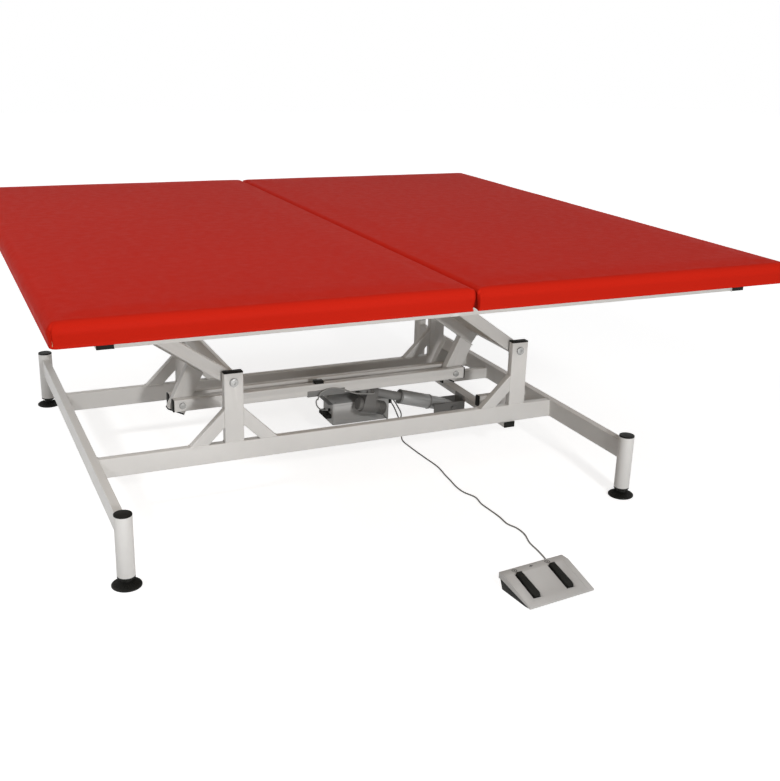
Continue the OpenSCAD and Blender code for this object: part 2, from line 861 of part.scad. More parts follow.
// Bolt, nut and the two washers beside the lever, at each lever pin.
module lever_pins() {
    washer_gap = (bar_in - lever_t / 2) - 2 * gap;
    color(steel) at_lever_pins() {
        both_sides() rod_y(bar_out, bar_out + head_t, head_d);
        rod_y(-bar_out - over, bar_out + over, pin_d);
        both_sides() difference() {
            rod_y(lever_t / 2 + gap, lever_t / 2 + gap + washer_gap, pin_d + 14);
            rod_y(0, bar_out, pin_d + 2 * fit);
        }
    }
}

// Plate under the bars with two ears and the front pin.
module actuator_clevis() {
    ear_low = front_pin_z - lug_r;
    foot_left = 27;
    foot_right = lug_r + 2;
    ear_out = clevis_gap / 2 + plate_t;
    color(dark_grey) {
        difference() {
            union() {
                translate([front_pin_x - foot_left, -bar_out, bar_low - hanger_t])
                    cube([foot_left + foot_right, 2 * bar_out, hanger_t]);
                both_sides() translate([front_pin_x - lug_r, clevis_gap / 2, ear_low])
                    cube([2 * lug_r, plate_t, bar_low - ear_low - hanger_t + over]);
            }
            translate([front_pin_x, 0, front_pin_z]) rod_y(-ear_out - over, ear_out + over, pin_d + 2 * fit);
        }
        translate([front_pin_x, 0, front_pin_z]) {
            rod_y(-ear_out - head_t, ear_out + head_t, pin_d);
            both_sides() rod_y(ear_out, ear_out + head_t, pin_d + 8);
        }
    }
}

// Folded sheet: lip on the near bar, plate under both bars, back plate behind the box.
module box_hanger() {
    back_y = box_y + box_w;
    back_z = box_z + back_plate_up;
    color(dark_grey) {
        translate([lip_x0, -bar_out - hanger_t, bar_low - hanger_t])
            cube([lip_l, hanger_t, lip_h + hanger_t]);
        translate([lip_x0, -bar_out - over, bar_low - hanger_t])
            cube([hanger_x1 - lip_x0, bar_out + back_y + hanger_t + over, hanger_t]);
        translate([hanger_x1 - over, bar_out + over, bar_low - hanger_t])
            cube([hanger_back_x - hanger_x1 + over, back_y + hanger_t - bar_out - over, hanger_t]);
        translate([box_x + back_plate_in, back_y, back_z])
            cube([back_plate_l - back_plate_in, hanger_t, bar_low - back_z - over]);
    }
}

module at_box() {
    translate([box_x + box_l / 2, box_y + box_w / 2, box_z]) children();
}

module control_box_body() {
    color(grey) at_box() difference() {
        linear_extrude(box_h - lid_h) rounded_plan(box_l, box_w, box_corner_r);
        translate([0, 0, box_wall]) linear_extrude(box_h)
            rounded_plan(box_l - 2 * box_wall, box_w - 2 * box_wall, box_corner_r - box_wall);
    }
}

module control_box_lid() {
    color(dark_grey) at_box() translate([0, 0, box_h - lid_h]) difference() {
        linear_extrude(lid_h) rounded_plan(box_l, box_w, box_corner_r);
        translate([0, 0, -over]) linear_extrude(lid_h - box_wall + over)
            rounded_plan(box_l - 2 * box_wall, box_w - 2 * box_wall, box_corner_r - box_wall);
    }
}

// Transformer and circuit board on the floor of the box.
module control_board() {
    board = [110, 76, 1.6];
    transformer = [62, 60, 46];
    margin = 10;
    post = 5;
    color([0.2, 0.42, 0.25]) at_box() {
        translate([box_l / 2 - margin - board.x, -board.y / 2, box_wall + post]) cube(board);
        for (x = [margin, board.x - margin - post], y = [-board.y / 2 + post, board.y / 2 - 2 * post])
            translate([box_l / 2 - margin - board.x + x, y, box_wall]) cube([post, post, post + over]);
        translate([-box_l / 2 + margin, -transformer.y / 2, box_wall]) cube(transformer);
    }
}

// Plugs on the right end, and the row of sockets with the gland on the left end.
module box_connectors() {
    row_l = 70;
    row_t = 20;
    row_h = 15;
    row_z = 68;
    color(black) {
        for (y = [cord_plug_y, lead_plug_y])
            translate([box_end, y - plug_w / 2, plug_z - plug_h / 2]) cube([plug_l, plug_w, plug_h]);
        translate([box_end + plug_l / 2, cord_plug_y, plug_z])
            rod_y(-plug_w / 2 - boot_l, -plug_w / 2 + over, outlet_d);
        translate([box_x - row_t, box_y + 15, row_z]) cube([row_t, row_l, row_h]);
        translate([box_x, left_gland_y, left_gland_z]) rotate([0, -90, 0]) cylinder(h = 8, d = outlet_d);
    }
}

module motor_lead() {
    color(dark_grey) at_front_pin() swept_tube(motor_route, 2, lead_d, [-1, 0, 0], [0, 1, 0], [0, 0, 1]);
}

module limit_switch_lead() {
    color(dark_grey) at_front_pin() swept_tube(limit_route, 2, lead_d, [0, 1, 0], [-1, 0, 0], [0, 0, 1]);
}

// Housing round both axes, with the front lug and the outlets of both leads.
module gearbox() {
    color(grey) at_actuator() difference() {
        union() {
            translate([gearbox_u, 0, 0]) rotate([0, 90, 0]) cylinder(h = gearbox_l, r = gearbox_r);
            translate([gearbox_u, 0, -motor_drop]) rotate([0, 90, 0])
                cylinder(h = gearbox_l, d = motor_d + 4);
            translate([gearbox_u, -gearbox_r, -motor_drop]) cube([gearbox_l, 2 * gearbox_r, motor_drop]);
            translate([gearbox_u - front_cover_l, 0, -motor_drop]) rotate([0, 90, 0])
                cylinder(h = front_cover_l + over, d = motor_d - 6);
            rod_y(-lug_w / 2, lug_w / 2, 2 * lug_r);
            translate([0, -lug_w / 2, -lug_r]) cube([gearbox_u + over, lug_w, 2 * lug_r]);
            translate([lead_outlet_u, 0, lead_outlet_z]) rod_y(-gearbox_r - 2 * outlet_l, 0, outlet_d);
        }
        rod_y(-lug_w, lug_w, pin_d + 2 * fit);
        translate([gearbox_end, 0, 0]) rotate([0, -90, 0])
            cylinder(h = gearbox_l / 2, d = screw_d + 2 * fit);
    }
}

module motor_barrel() {
    color(grey) at_actuator() translate([gearbox_end, 0, -motor_drop]) {
        rotate([0, 90, 0]) cylinder(h = barrel_l, d = motor_d);
        translate([barrel_l / 2, 0, 0]) rod_y(0, motor_d / 2 + outlet_l, outlet_d);
    }
}

module motor_tail() {
    pitch = tail_l / rib_count;
    color(black) at_actuator() translate([gearbox_end + barrel_l, 0, -motor_drop]) rotate([0, 90, 0]) {
        cylinder(h = tail_l, d = motor_d - 2 * rib_depth);
        for (i = [0 : rib_count - 1]) translate([0, 0, i * pitch]) cylinder(h = pitch / 2, d = motor_d);
    }
}

module inner_tube() {
    inner_end = sleeve_u + engaged_l;
    color(grey) at_actuator() translate([gearbox_end, 0, 0]) rotate([0, 90, 0]) difference() {
        cylinder(h = inner_end - gearbox_end, d = inner_d);
        translate([0, 0, -over])
            cylinder(h = inner_end - gearbox_end + 2 * over, d = inner_d - 4 * tube_wall);
    }
}

// Screw that the gearbox turns, inside the inner tube.
module lead_screw() {
    tip = 10;
    root = gearbox_end - gearbox_l / 2;
    color(steel) at_actuator() translate([root, 0, 0]) rotate([0, 90, 0])
        cylinder(h = sleeve_u + engaged_l - tip - root, d = screw_d);
}

module outer_sleeve() {
    color(grey) at_actuator() rotate([0, 90, 0]) difference() {
        union() {
            translate([0, 0, sleeve_u + flange_t]) cylinder(h = sleeve_l - flange_t, d = sleeve_d);
            translate([0, 0, sleeve_ring_u - over]) cylinder(h = sleeve_rear_l + over, d = sleeve_rear_d);
        }
        translate([0, 0, sleeve_u]) cylinder(h = sleeve_end - sleeve_u + over, d = sleeve_bore);
    }
}

// Wiper ring in the sleeve's mouth, and the ring where its wide part ends.
module sleeve_flange() {
    color(dark_grey) at_actuator() rotate([0, 90, 0]) {
        difference() {
            translate([0, 0, sleeve_u]) cylinder(h = flange_t, d = sleeve_d + flange_over);
            translate([0, 0, sleeve_u - over]) cylinder(h = flange_t + 2 * over, d = sleeve_bore);
        }
        difference() {
            translate([0, 0, sleeve_ring_u]) cylinder(h = ring_t, d = sleeve_d + 2);
            translate([0, 0, sleeve_ring_u - over])
                cylinder(h = ring_t + 2 * over, d = sleeve_rear_d + 2 * fit);
        }
    }
}

// End piece with the eye and its pin, which stops short of both cheeks.
module rear_eye() {
    disc_t = 6;
    color(steel) at_actuator() {
        translate([sleeve_end, 0, 0]) rotate([0, 90, 0]) cylinder(h = disc_t, d = sleeve_rear_d);
        translate([sleeve_end + disc_t - over, -eye_w / 2, -eye_r])
            cube([act_l - sleeve_end - disc_t + over, eye_w, 2 * eye_r]);
        translate([act_l, 0, 0]) {
            rod_y(-eye_w / 2, eye_w / 2, 2 * eye_r);
            rod_y(-eye_pin_l / 2, eye_pin_l / 2, pin_d);
        }
    }
}

module frame_end_tubes() {
    color(white) for (x = [frame_x0, frame_x1]) translate([x, 0, frame_z + frame_w / 2])
        tube_y(-frame_half_w, frame_half_w, frame_w, frame_w, tube_wall);
}

// Edge rails under the pad edges, and narrower inner rails above the posts.
module frame_long_rails() {
    x0 = frame_x0 + frame_w / 2;
    l = frame_x1 - frame_x0 - frame_w;
    color(white) both_sides() translate([x0, 0, frame_z + frame_w / 2]) {
        translate([0, edge_y, 0]) tube_x(l, frame_w, frame_w, tube_wall);
        translate([0, rail_y, 0]) tube_x(l, rail_w, frame_w, tube_wall);
    }
}

module frame_middle_tubes() {
    inner = frame_half_w - frame_w;
    color(white) for (x = [divide_x, brace_tube_x]) translate([x, 0, frame_z + frame_w / 2]) {
        tube_y(-post_in, post_in, frame_w, frame_w, tube_wall);
        both_sides() tube_y(post_out, inner, frame_w, frame_w, tube_wall);
    }
}

module frame_tube_caps() {
    color(black) for (x = [frame_x0, frame_x1]) both_sides()
        translate([x, frame_half_w, frame_z + frame_w / 2]) rotate([0, 0, 90])
            cap_x(frame_w, frame_w, tube_wall, frame_cap_t, insert_l);
}

module at_ears() {
    for (x = [left_upper_x, right_upper_x]) both_sides() translate([x, 0, upper_z]) children();
}

module pivot_ears() {
    low = 22;
    color(white) at_ears() difference() {
        translate([-ear_w / 2, -post_in, -low]) cube([ear_w, spacer_t, low + ear_drop + frame_w]);
        rod_y(-post_out, 0, pivot_d + 2 * fit);
    }
}

module upper_pivot_bolts() {
    color(steel) at_ears() translate([0, -post_in, 0]) pivot_bolt(spacer_t + gap + arm_w - over);
}

module pad_board(x0, l) {
    translate([x0 + board_inset, -top_w / 2 + board_inset, frame_top])
        cube([l - 2 * board_inset, top_w - 2 * board_inset, board_t]);
}

module pad_boards() {
    color(ply) {
        pad_board(divide_x - pad_gap / 2 - pad_l, pad_l);
        pad_board(divide_x + pad_gap / 2, pad_l);
    }
}

// One level of a pad: a thin rounded plate, drawn in by inset.
module pad_level(l, z, inset) {
    slice = 0.2;
    r = pad_corner_r;
    translate([0, 0, z]) linear_extrude(slice, center = true) hull()
        for (x = [-1, 1], y = [-1, 1])
            translate([x * (l / 2 - r - inset), y * (top_w / 2 - r - inset)]) circle(r, $fn = 32);
}

// Cushion with sides drawn in below, round upper edges and a slight crown.
module pad(x0) {
    e = pad_edge_r;
    draw = 3;
    rise = pad_h - pad_crown;
    crown_inset = 180;
    slice = 0.1;
    color(red) difference() {
        translate([x0 + pad_l / 2, 0, frame_top]) hull() {
            pad_level(pad_l, slice, draw);
            pad_level(pad_l, pad_h * 0.3, 0.5);
            pad_level(pad_l, rise - e, 0);
            for (a = [30, 60]) pad_level(pad_l, rise - e + e * sin(a), e - e * cos(a));
            pad_level(pad_l, rise, e);
            pad_level(pad_l, pad_h - slice, crown_inset);
        }
        translate([0, 0, -over]) pad_board(x0, pad_l);
        pad_board(x0, pad_l);
    }
}

module left_pad() {
    pad(divide_x - pad_gap / 2 - pad_l);
}

module right_pad() {
    pad(divide_x + pad_gap / 2);
}

// Plate in the foot switch's side view, given as [distance from the back, height].
module side_view(points, x0, x1) {
    translate([x0, 0, 0]) rotate([90, 0, 90]) linear_extrude(x1 - x0)
        polygon([for (p = points) [-p[0], p[1]]]);
}

function shell_low(back) =
    sw_h - sw_side + (sw_rim - 1 - sw_h + sw_side) * max(back - sw_base_back, 0) / (sw_l - sw_base_back);

// Shell with a flat strip at the back, a sloping face and slots for the pedals.
module switch_shell() {
    half = sw_w / 2;
    drop = sw_wall;
    color(shell_grey) at_switch() difference() {
        side_view([[0, sw_h], [sw_strip, sw_h], [sw_l, sw_front_h], [sw_l, sw_rim - 1],
                   [sw_base_back, shell_low(sw_base_back)], [0, shell_low(0)]], -half, half);
        side_view([[drop, sw_h - drop], [sw_strip, sw_h - drop], [sw_l - drop, sw_front_h - drop],
                   [sw_l - drop, -over], [drop, -over]], -half + drop, half - drop);
        for (x = pedal_places()) at_slope(x) translate([-pedal_w1 / 2 - pedal_slot, 0, 0])
            translate([0, -pedal_start - pedal_l - pedal_slot, -sw_wall * 2])
                cube([pedal_w1 + 2 * pedal_slot, pedal_l + 2 * pedal_slot, sw_wall * 3]);
        at_slope(seam_x) translate([0, -sw_l, -seam_w]) cube([seam_w, sw_l, sw_wall]);
    }
}

function pedal_places() = [pedal_mid - pedal_span / 2, pedal_mid + pedal_span / 2];

// Dark base with undercut ends, ears for the pedal pins and the cord's gland.
module switch_base() {
    half = sw_w / 2 - sw_wall - gap;
    b = sw_wall + gap;
    floor_t = 3;
    ear_t = 3;
    ear_y = -pedal_start - lug_len / 2;
    color(black) at_switch() {
        difference() {
            side_view([[b, sw_h - sw_side], [sw_base_back, 0], [sw_l - sw_base_front, 0],
                       [sw_l - b, sw_rim - 2], [sw_l - b, sw_rim - 1]], -half, half);
            side_view([[b + floor_t + over, sw_h], [sw_base_back + floor_t, floor_t],
                       [sw_l - sw_base_front, floor_t], [sw_l - b, sw_rim + 1], [sw_l - b, sw_h]],
                      -half + floor_t, half - floor_t);
        }
        translate([sw_gland_x, 0, sw_gland_z]) rod_y(-sw_base_back + floor_t, sw_gland_out, gland_d);
        for (x = pedal_places()) difference() {
            intersection() {
                union() for (s = [-1, 1]) at_slope(x)
                    translate([s * (pedal_w1 / 2 + pedal_slot + ear_t / 2) - ear_t / 2,
                               ear_y - lug_len / 2, -2 * sw_h])
                        cube([ear_t, lug_len, 2 * sw_h - sw_wall - gap - over]);
                translate([-half, -sw_l, floor_t - over]) cube([2 * half, sw_l, sw_h]);
            }
            at_slope(x) translate([-pedal_w1, ear_y, -pedal_sink]) rotate([0, 90, 0])
                cylinder(h = 2 * pedal_w1, d = pedal_pin_d + 2 * fit);
        }
    }
}

// Pedal bar with a lug that carries its pin under the sloping face.
module pedal(x) {
    clear = pedal_slot - gap;
    pin_l = pedal_w1 + 2 * pedal_slot + 5;
    pin_y = -pedal_start - lug_len / 2;
    color(black) at_switch() at_slope(x) {
        translate([0, -pedal_start, 0.5]) linear_extrude(pedal_h - 0.5)
            polygon([[-pedal_w0 / 2, 0], [-pedal_w1 / 2, -pedal_l + 10], [-pedal_w1 / 2 + 3, -pedal_l],
                     [pedal_w1 / 2 - 3, -pedal_l], [pedal_w1 / 2, -pedal_l + 10], [pedal_w0 / 2, 0]]);
        translate([-pedal_w0 / 2, -pedal_start - lug_len, -pedal_sink - pedal_pin_d])
            cube([pedal_w0, lug_len, pedal_sink + pedal_pin_d + over]);
        translate([-pin_l / 2, pin_y, -pedal_sink]) rotate([0, 90, 0]) cylinder(h = pin_l, d = pedal_pin_d);
    }
}

module left_pedal() {
    pedal(pedal_places()[0]);
}

module right_pedal() {
    pedal(pedal_places()[1]);
}

module switch_cord_drop() {
    color(grey) at_front_pin() swept_tube(drop_route, 2, cord_d, [0, -1, 0], [0, -1, 0], [0, 0, 1]);
}

module switch_cord() {
    into_switch = [sin(sw_turn), -cos(sw_turn), 0];
    color(grey) at_front_pin() swept_tube(floor_route, 2, cord_d, [0, -1, 0], into_switch, [0, 0, 1]);
}

legs();
leg_caps();
leg_plugs();
front_left_foot();
front_right_foot();
rear_left_foot();
rear_right_foot();
end_bars();
long_rails();
posts();
post_braces();
base_tube_caps();
pivot_spacers();
crank_pivot_bolts();
support_tubes();
actuator_bracket();
left_side_arms();
left_cross_tubes();
left_middle_arm();
left_lever();
left_lever_cap();
right_side_arms();
right_cross_tubes();
right_middle_arm();
right_levers();
right_lever_caps();
push_bars();
push_bar_caps();
lever_pins();
actuator_clevis();
box_hanger();
control_box_body();
control_box_lid();
control_board();
box_connectors();
motor_lead();
limit_switch_lead();
gearbox();
motor_barrel();
motor_tail();
inner_tube();
lead_screw();
outer_sleeve();
sleeve_flange();
rear_eye();
frame_end_tubes();
frame_long_rails();
frame_middle_tubes();
frame_tube_caps();
pivot_ears();
upper_pivot_bolts();
pad_boards();
left_pad();
right_pad();
switch_shell();
switch_base();
left_pedal();
right_pedal();
switch_cord_drop();
switch_cord();
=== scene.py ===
import json
import math

import bmesh
import bpy
from mathutils import Matrix, Vector, noise


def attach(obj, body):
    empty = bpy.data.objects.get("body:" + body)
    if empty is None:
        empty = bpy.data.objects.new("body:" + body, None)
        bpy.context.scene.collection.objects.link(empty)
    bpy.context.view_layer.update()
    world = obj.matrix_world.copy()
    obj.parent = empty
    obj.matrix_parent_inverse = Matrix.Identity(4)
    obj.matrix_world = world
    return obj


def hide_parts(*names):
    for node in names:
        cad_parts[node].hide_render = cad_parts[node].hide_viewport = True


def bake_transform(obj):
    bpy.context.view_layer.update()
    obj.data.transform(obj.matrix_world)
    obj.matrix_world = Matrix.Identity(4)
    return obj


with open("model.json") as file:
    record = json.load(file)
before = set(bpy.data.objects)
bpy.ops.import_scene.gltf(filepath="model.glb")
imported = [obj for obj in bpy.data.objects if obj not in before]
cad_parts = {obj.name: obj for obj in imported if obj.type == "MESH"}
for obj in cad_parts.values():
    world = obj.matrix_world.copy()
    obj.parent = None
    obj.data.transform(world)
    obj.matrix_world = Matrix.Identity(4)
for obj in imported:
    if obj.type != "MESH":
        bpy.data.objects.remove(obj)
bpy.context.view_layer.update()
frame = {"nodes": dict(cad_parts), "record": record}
nodes = frame["nodes"]
mm = 0.001
print("frame loaded,", len(nodes), "nodes")


# camera at the photograph's place: metres and radians
cameraAim = {"spot": (-1.2026, -3.2083, 1.3936), "yaw": 0.4386, "pitch": 0.3326, "roll": 0.0309,
             "lens": 48.49}


def placeCamera(aim):
    yaw, pitch, roll = aim["yaw"], aim["pitch"], aim["roll"]
    ahead = Vector((math.sin(yaw) * math.cos(pitch), math.cos(yaw) * math.cos(pitch), -math.sin(pitch)))
    level = Vector((math.cos(yaw), -math.sin(yaw), 0))
    up = level.cross(ahead)
    right = math.cos(roll) * level + math.sin(roll) * up
    top = -math.sin(roll) * level + math.cos(roll) * up
    data = bpy.data.cameras.new("photoCamera")
    data.sensor_fit = "HORIZONTAL"
    data.sensor_width = 36
    data.lens = aim["lens"]
    data.clip_end = 60
    camera = bpy.data.objects.new("photoCamera", data)
    turn = Matrix((right, top, -ahead)).transposed().to_4x4()
    camera.matrix_world = Matrix.Translation(aim["spot"]) @ turn
    bpy.context.collection.objects.link(camera)
    bpy.context.scene.camera = camera


placeCamera(cameraAim)


# shader maths and materials

class Wire:
    # one output socket, so that shader maths reads as plain sums
    def __init__(self, builder, socket):
        self.builder, self.socket = builder, socket

    def sum(self, operation, first, second):
        return self.builder.add("ShaderNodeMath", {"operation": operation}, {0: first, 1: second})

    def __add__(self, other):
        return self.sum("ADD", self, other)

    def __radd__(self, other):
        return self.sum("ADD", other, self)

    def __sub__(self, other):
        return self.sum("SUBTRACT", self, other)

    def __rsub__(self, other):
        return self.sum("SUBTRACT", other, self)

    def __mul__(self, other):
        return self.sum("MULTIPLY", self, other)

    def __rmul__(self, other):
        return self.sum("MULTIPLY", other, self)


class Builder:
    # adds nodes to one tree: a type, its settings, then the values or links of its sockets
    def __init__(self, tree):
        self.tree = tree

    def add(self, kind, settings=None, inputs=None, output=0):
        node = self.tree.nodes.new(kind)
        for key, value in (settings or {}).items():
            setattr(node, key, value)
        for key, value in (inputs or {}).items():
            self.feed(node.inputs[key], value)
        return Wire(self, node.outputs[output])

    def feed(self, socket, value):
        if isinstance(value, Wire):
            self.tree.links.new(value.socket, socket)
        else:
            socket.default_value = value


class Finish(Builder):
    # one material, built round its Principled shader
    def __init__(self, name):
        self.material = bpy.data.materials.new(name)
        self.material.use_nodes = True
        super().__init__(self.material.node_tree)
        self.shader = self.tree.nodes["Principled BSDF"]
        self.place = self.add("ShaderNodeTexCoord", output="Object")

    def set(self, **values):
        for key, value in values.items():
            self.feed(self.shader.inputs[key.replace("_", " ")], value)

    def cloud(self, scale, detail=2, roughness=0.5, stretch=None):
        place = self.place
        if stretch:
            place = self.add("ShaderNodeVectorMath", {"operation": "MULTIPLY"}, {0: self.place, 1: stretch})
        return self.add("ShaderNodeTexNoise", {"noise_dimensions": "3D"},
                        {"Vector": place, "Scale": scale, "Detail": detail, "Roughness": roughness})

    def cells(self, scale, smooth):
        return self.add("ShaderNodeTexVoronoi", {"feature": "SMOOTH_F1"},
                        {"Vector": self.place, "Scale": scale, "Smoothness": smooth})

    def cellEdges(self, scale):
        return self.add("ShaderNodeTexVoronoi", {"feature": "DISTANCE_TO_EDGE"},
                        {"Vector": self.place, "Scale": scale})

    def ramp(self, value, low, high, dark=0.0, light=1.0):
        return self.add("ShaderNodeMapRange", {"clamp": True},
                        {"Value": value, "From Min": low, "From Max": high, "To Min": dark, "To Max": light})

    def tint(self, amount, first, second):
        # sockets 6 and 7 of a Mix node are its two colours, output 2 is the mixed one
        first, second = (c if isinstance(c, Wire) else (*c, 1) for c in (first, second))
        return self.add("ShaderNodeMix", {"data_type": "RGBA"},
                        {"Factor": amount, 6: first, 7: second}, output=2)

    def relief(self, height, depth, strength):
        self.set(Normal=self.add("ShaderNodeBump", {},
                                 {"Height": height, "Distance": depth, "Strength": strength}))


def paint(name, colour, shade, roughness, peel):
    # powder coat: soft orange peel, faint cloudiness, a little dust in patches
    finish = Finish(name)
    broad = finish.cloud(3.1, 3)
    patch = finish.ramp(finish.cloud(17, 4, 0.6), 0.45, 0.75)
    base = finish.tint(finish.ramp(broad, 0.3, 0.7), colour, shade)
    finish.set(Base_Color=finish.tint(patch * 0.16, base, [c * 0.86 for c in shade]))
    finish.set(Roughness=finish.ramp(finish.cloud(42, 3), 0.3, 0.7, roughness - 0.05, roughness + 0.07))
    finish.relief(finish.cloud(620, 1) + finish.cells(240, 0.8) * 0.8, peel, 0.35)
    return finish.material


def plastic(name, colour, roughness, grain=900, depth=0.00012, haze=0.06, shine=0.5):
    # moulded plastic: spark-eroded grain with dull, slightly dusty patches
    finish = Finish(name)
    dust = finish.ramp(finish.cloud(26, 4, 0.65), 0.45, 0.8)
    tone = finish.tint(finish.ramp(finish.cloud(7, 2), 0.3, 0.7), colour, [c * 0.86 for c in colour])
    finish.set(Base_Color=finish.tint(dust * haze, tone, (0.30, 0.29, 0.27)))
    finish.set(Roughness=finish.ramp(finish.cloud(60, 3), 0.3, 0.7, roughness - 0.06, roughness + 0.08))
    finish.relief(finish.cells(grain, 0.6), depth, 0.45)
    finish.set(Specular_IOR_Level=shine)
    return finish.material


def zinc(name, colour, roughness):
    # zinc-plated steel: turned streaks and soft clouding
    finish = Finish(name)
    cloudy = finish.ramp(finish.cloud(55, 4, 0.6), 0.3, 0.7)
    finish.set(Base_Color=finish.tint(cloudy, colour, [c * 0.72 for c in colour]), Metallic=1.0)
    turned = finish.cloud(240, 2, stretch=(1, 9, 1))
    finish.set(Roughness=finish.ramp(turned, 0.3, 0.7, roughness - 0.08, roughness + 0.1))
    finish.relief(finish.cloud(500, 2, stretch=(1, 12, 1)), 0.00006, 0.4)
    return finish.material


def anodised(name, colour):
    # drawn aluminium tube: fine lines along its length
    finish = Finish(name)
    drawn = finish.cloud(160, 2, stretch=(0.05, 1, 1))
    shade = [c * 0.9 for c in colour]
    finish.set(Base_Color=finish.tint(finish.ramp(drawn, 0.3, 0.7), colour, shade), Metallic=0.35)
    finish.set(Roughness=finish.ramp(drawn, 0.3, 0.7, 0.34, 0.46))
    finish.relief(drawn, 0.00005, 0.35)
    return finish.material


def vinyl(name, colour, deep):
    # coated upholstery: pebbled grain of rounded cells, painted shade in the creases between them, a soft
    # shine
    finish = Finish(name)
    broad = finish.ramp(finish.cloud(1.3, 2), 0.3, 0.7)
    pebbles = finish.cells(640, 0.35)
    fine = finish.cloud(1500, 2)
    crease = finish.ramp(finish.cellEdges(640), 0.0, 0.12)
    tone = finish.tint(broad, colour, deep)
    # painted shade: the base colour darkens in the creases between the pebbles, where shade falls
    finish.set(Base_Color=finish.tint((1 - crease) * 0.22, tone, [c * 0.45 for c in deep]))
    finish.set(Roughness=finish.ramp(finish.cloud(38, 3) + (1 - crease) * 0.2, 0.3, 0.8, 0.50, 0.62))
    finish.relief(fine * 0.25 - pebbles, 0.00012, 0.3)
    finish.set(Specular_IOR_Level=0.018)
    return finish.material


def plywood(name):
    # birch face: long grain under soft growth lines
    finish = Finish(name)
    grain = finish.cloud(9, 5, 0.6, stretch=(1.2, 14, 40))
    lines = finish.add("ShaderNodeTexWave", {"wave_type": "BANDS", "bands_direction": "Y"},
                       {"Vector": finish.place, "Scale": 9.0, "Distortion": 5.0, "Detail": 3.0,
                        "Detail Scale": 1.4}, output=1)
    tone = finish.tint(finish.ramp(grain, 0.3, 0.7), (0.62, 0.44, 0.26), (0.47, 0.31, 0.17))
    finish.set(Base_Color=finish.tint(lines * 0.3, tone, (0.36, 0.22, 0.11)))
    finish.set(Roughness=finish.ramp(grain, 0.3, 0.7, 0.55, 0.72))
    finish.relief(grain, 0.0003, 0.4)
    return finish.material


def circuitBoard(name):
    # green solder mask with paler tracks
    finish = Finish(name)
    tracks = finish.ramp(finish.cellEdges(120), 0.03, 0.05)
    finish.set(Base_Color=finish.tint(tracks, (0.35, 0.42, 0.12), (0.02, 0.12, 0.045)))
    finish.set(Roughness=finish.ramp(tracks, 0, 1, 0.3, 0.5))
    finish.relief(tracks, 0.0001, 0.3)
    return finish.material


looks = {
    "white_paint": paint("whitePowderCoat", (0.775, 0.76, 0.735), (0.745, 0.73, 0.705), 0.38, 0.00016),
    "dark_paint": paint("darkPowderCoat", (0.215, 0.212, 0.205), (0.19, 0.188, 0.182), 0.42, 0.00016),
    "black_plastic": plastic("blackMoulding", (0.009, 0.009, 0.0075), 0.56, 900, 0.00012, 0.015, 0.16),
    "grey_plastic": plastic("greyHousing", (0.58, 0.573, 0.56), 0.46, 760, 0.00014, 0.1),
    "switch_grey": plastic("switchShellGrey", (0.51, 0.495, 0.475), 0.48, 700, 0.00016, 0.08),
    "cord_grey": plastic("cordSheath", (0.29, 0.288, 0.278), 0.5, 1400, 0.00006, 0.1),
    "zinc_steel": zinc("zincPlatedSteel", (0.45, 0.45, 0.44), 0.5),
    "tube_grey": anodised("anodisedTube", (0.33, 0.33, 0.325)),
    "circuit_green": circuitBoard("circuitBoardGreen"),
    "plywood": plywood("birchPlywood"),
    "red_vinyl": vinyl("redUpholstery", (0.60, 0.0185, 0.0075), (0.58, 0.0175, 0.007)),
}
castGrey = plastic("castMotorHousing", (0.165, 0.16, 0.152), 0.5, 620, 0.0002, 0.08, 0.4)
markInk = plastic("printedMarkInk", (0.035, 0.035, 0.034), 0.6, 900, 0.00003, 0.02, 0.2)
print("finishes made,", len(looks) + 2)


# mesh helpers

def newPiece(name, bm, look, body, replaced=(), sharp=35):
    mesh = bpy.data.meshes.new(name)
    bmesh.ops.recalc_face_normals(bm, faces=bm.faces)
    bm.to_mesh(mesh)
    bm.free()
    mesh.polygons.foreach_set("use_smooth", [True] * len(mesh.polygons))
    mesh.set_sharp_from_angle(angle=math.radians(sharp))
    piece = bpy.data.objects.new(name, mesh)
    bpy.context.collection.objects.link(piece)
    mesh.materials.append(looks[look] if isinstance(look, str) else look)
    if body:
        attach(piece, body)
    if replaced:
        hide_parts(*replaced)
    return piece


def smoothPath(points, steps):
    # the same curve through the route's points as the solid's
    path = []
    for i in range(len(points) - 1):
        a, b = Vector(points[max(i - 1, 0)]), Vector(points[i])
        c, d = Vector(points[i + 1]), Vector(points[min(i + 2, len(points) - 1)])
        for s in range(steps):
            t = s / steps
            path.append(0.5 * (2 * b + (c - a) * t + (2 * a - 5 * b + 4 * c - d) * t * t
                               + (3 * b - a - 3 * c + d) * t ** 3))
    path.append(Vector(points[-1]))
    return path


def joinRings(bm, rings):
    # a band of quads between each ring and the next
    for a, b in zip(rings, rings[1:]):
        for j in range(len(a)):
            k = (j + 1) % len(a)
            bm.faces.new((a[j], a[k], b[k], b[j]))


def closeEnds(bm, rings):
    bm.faces.new(rings[0][::-1])
    bm.faces.new(rings[-1])


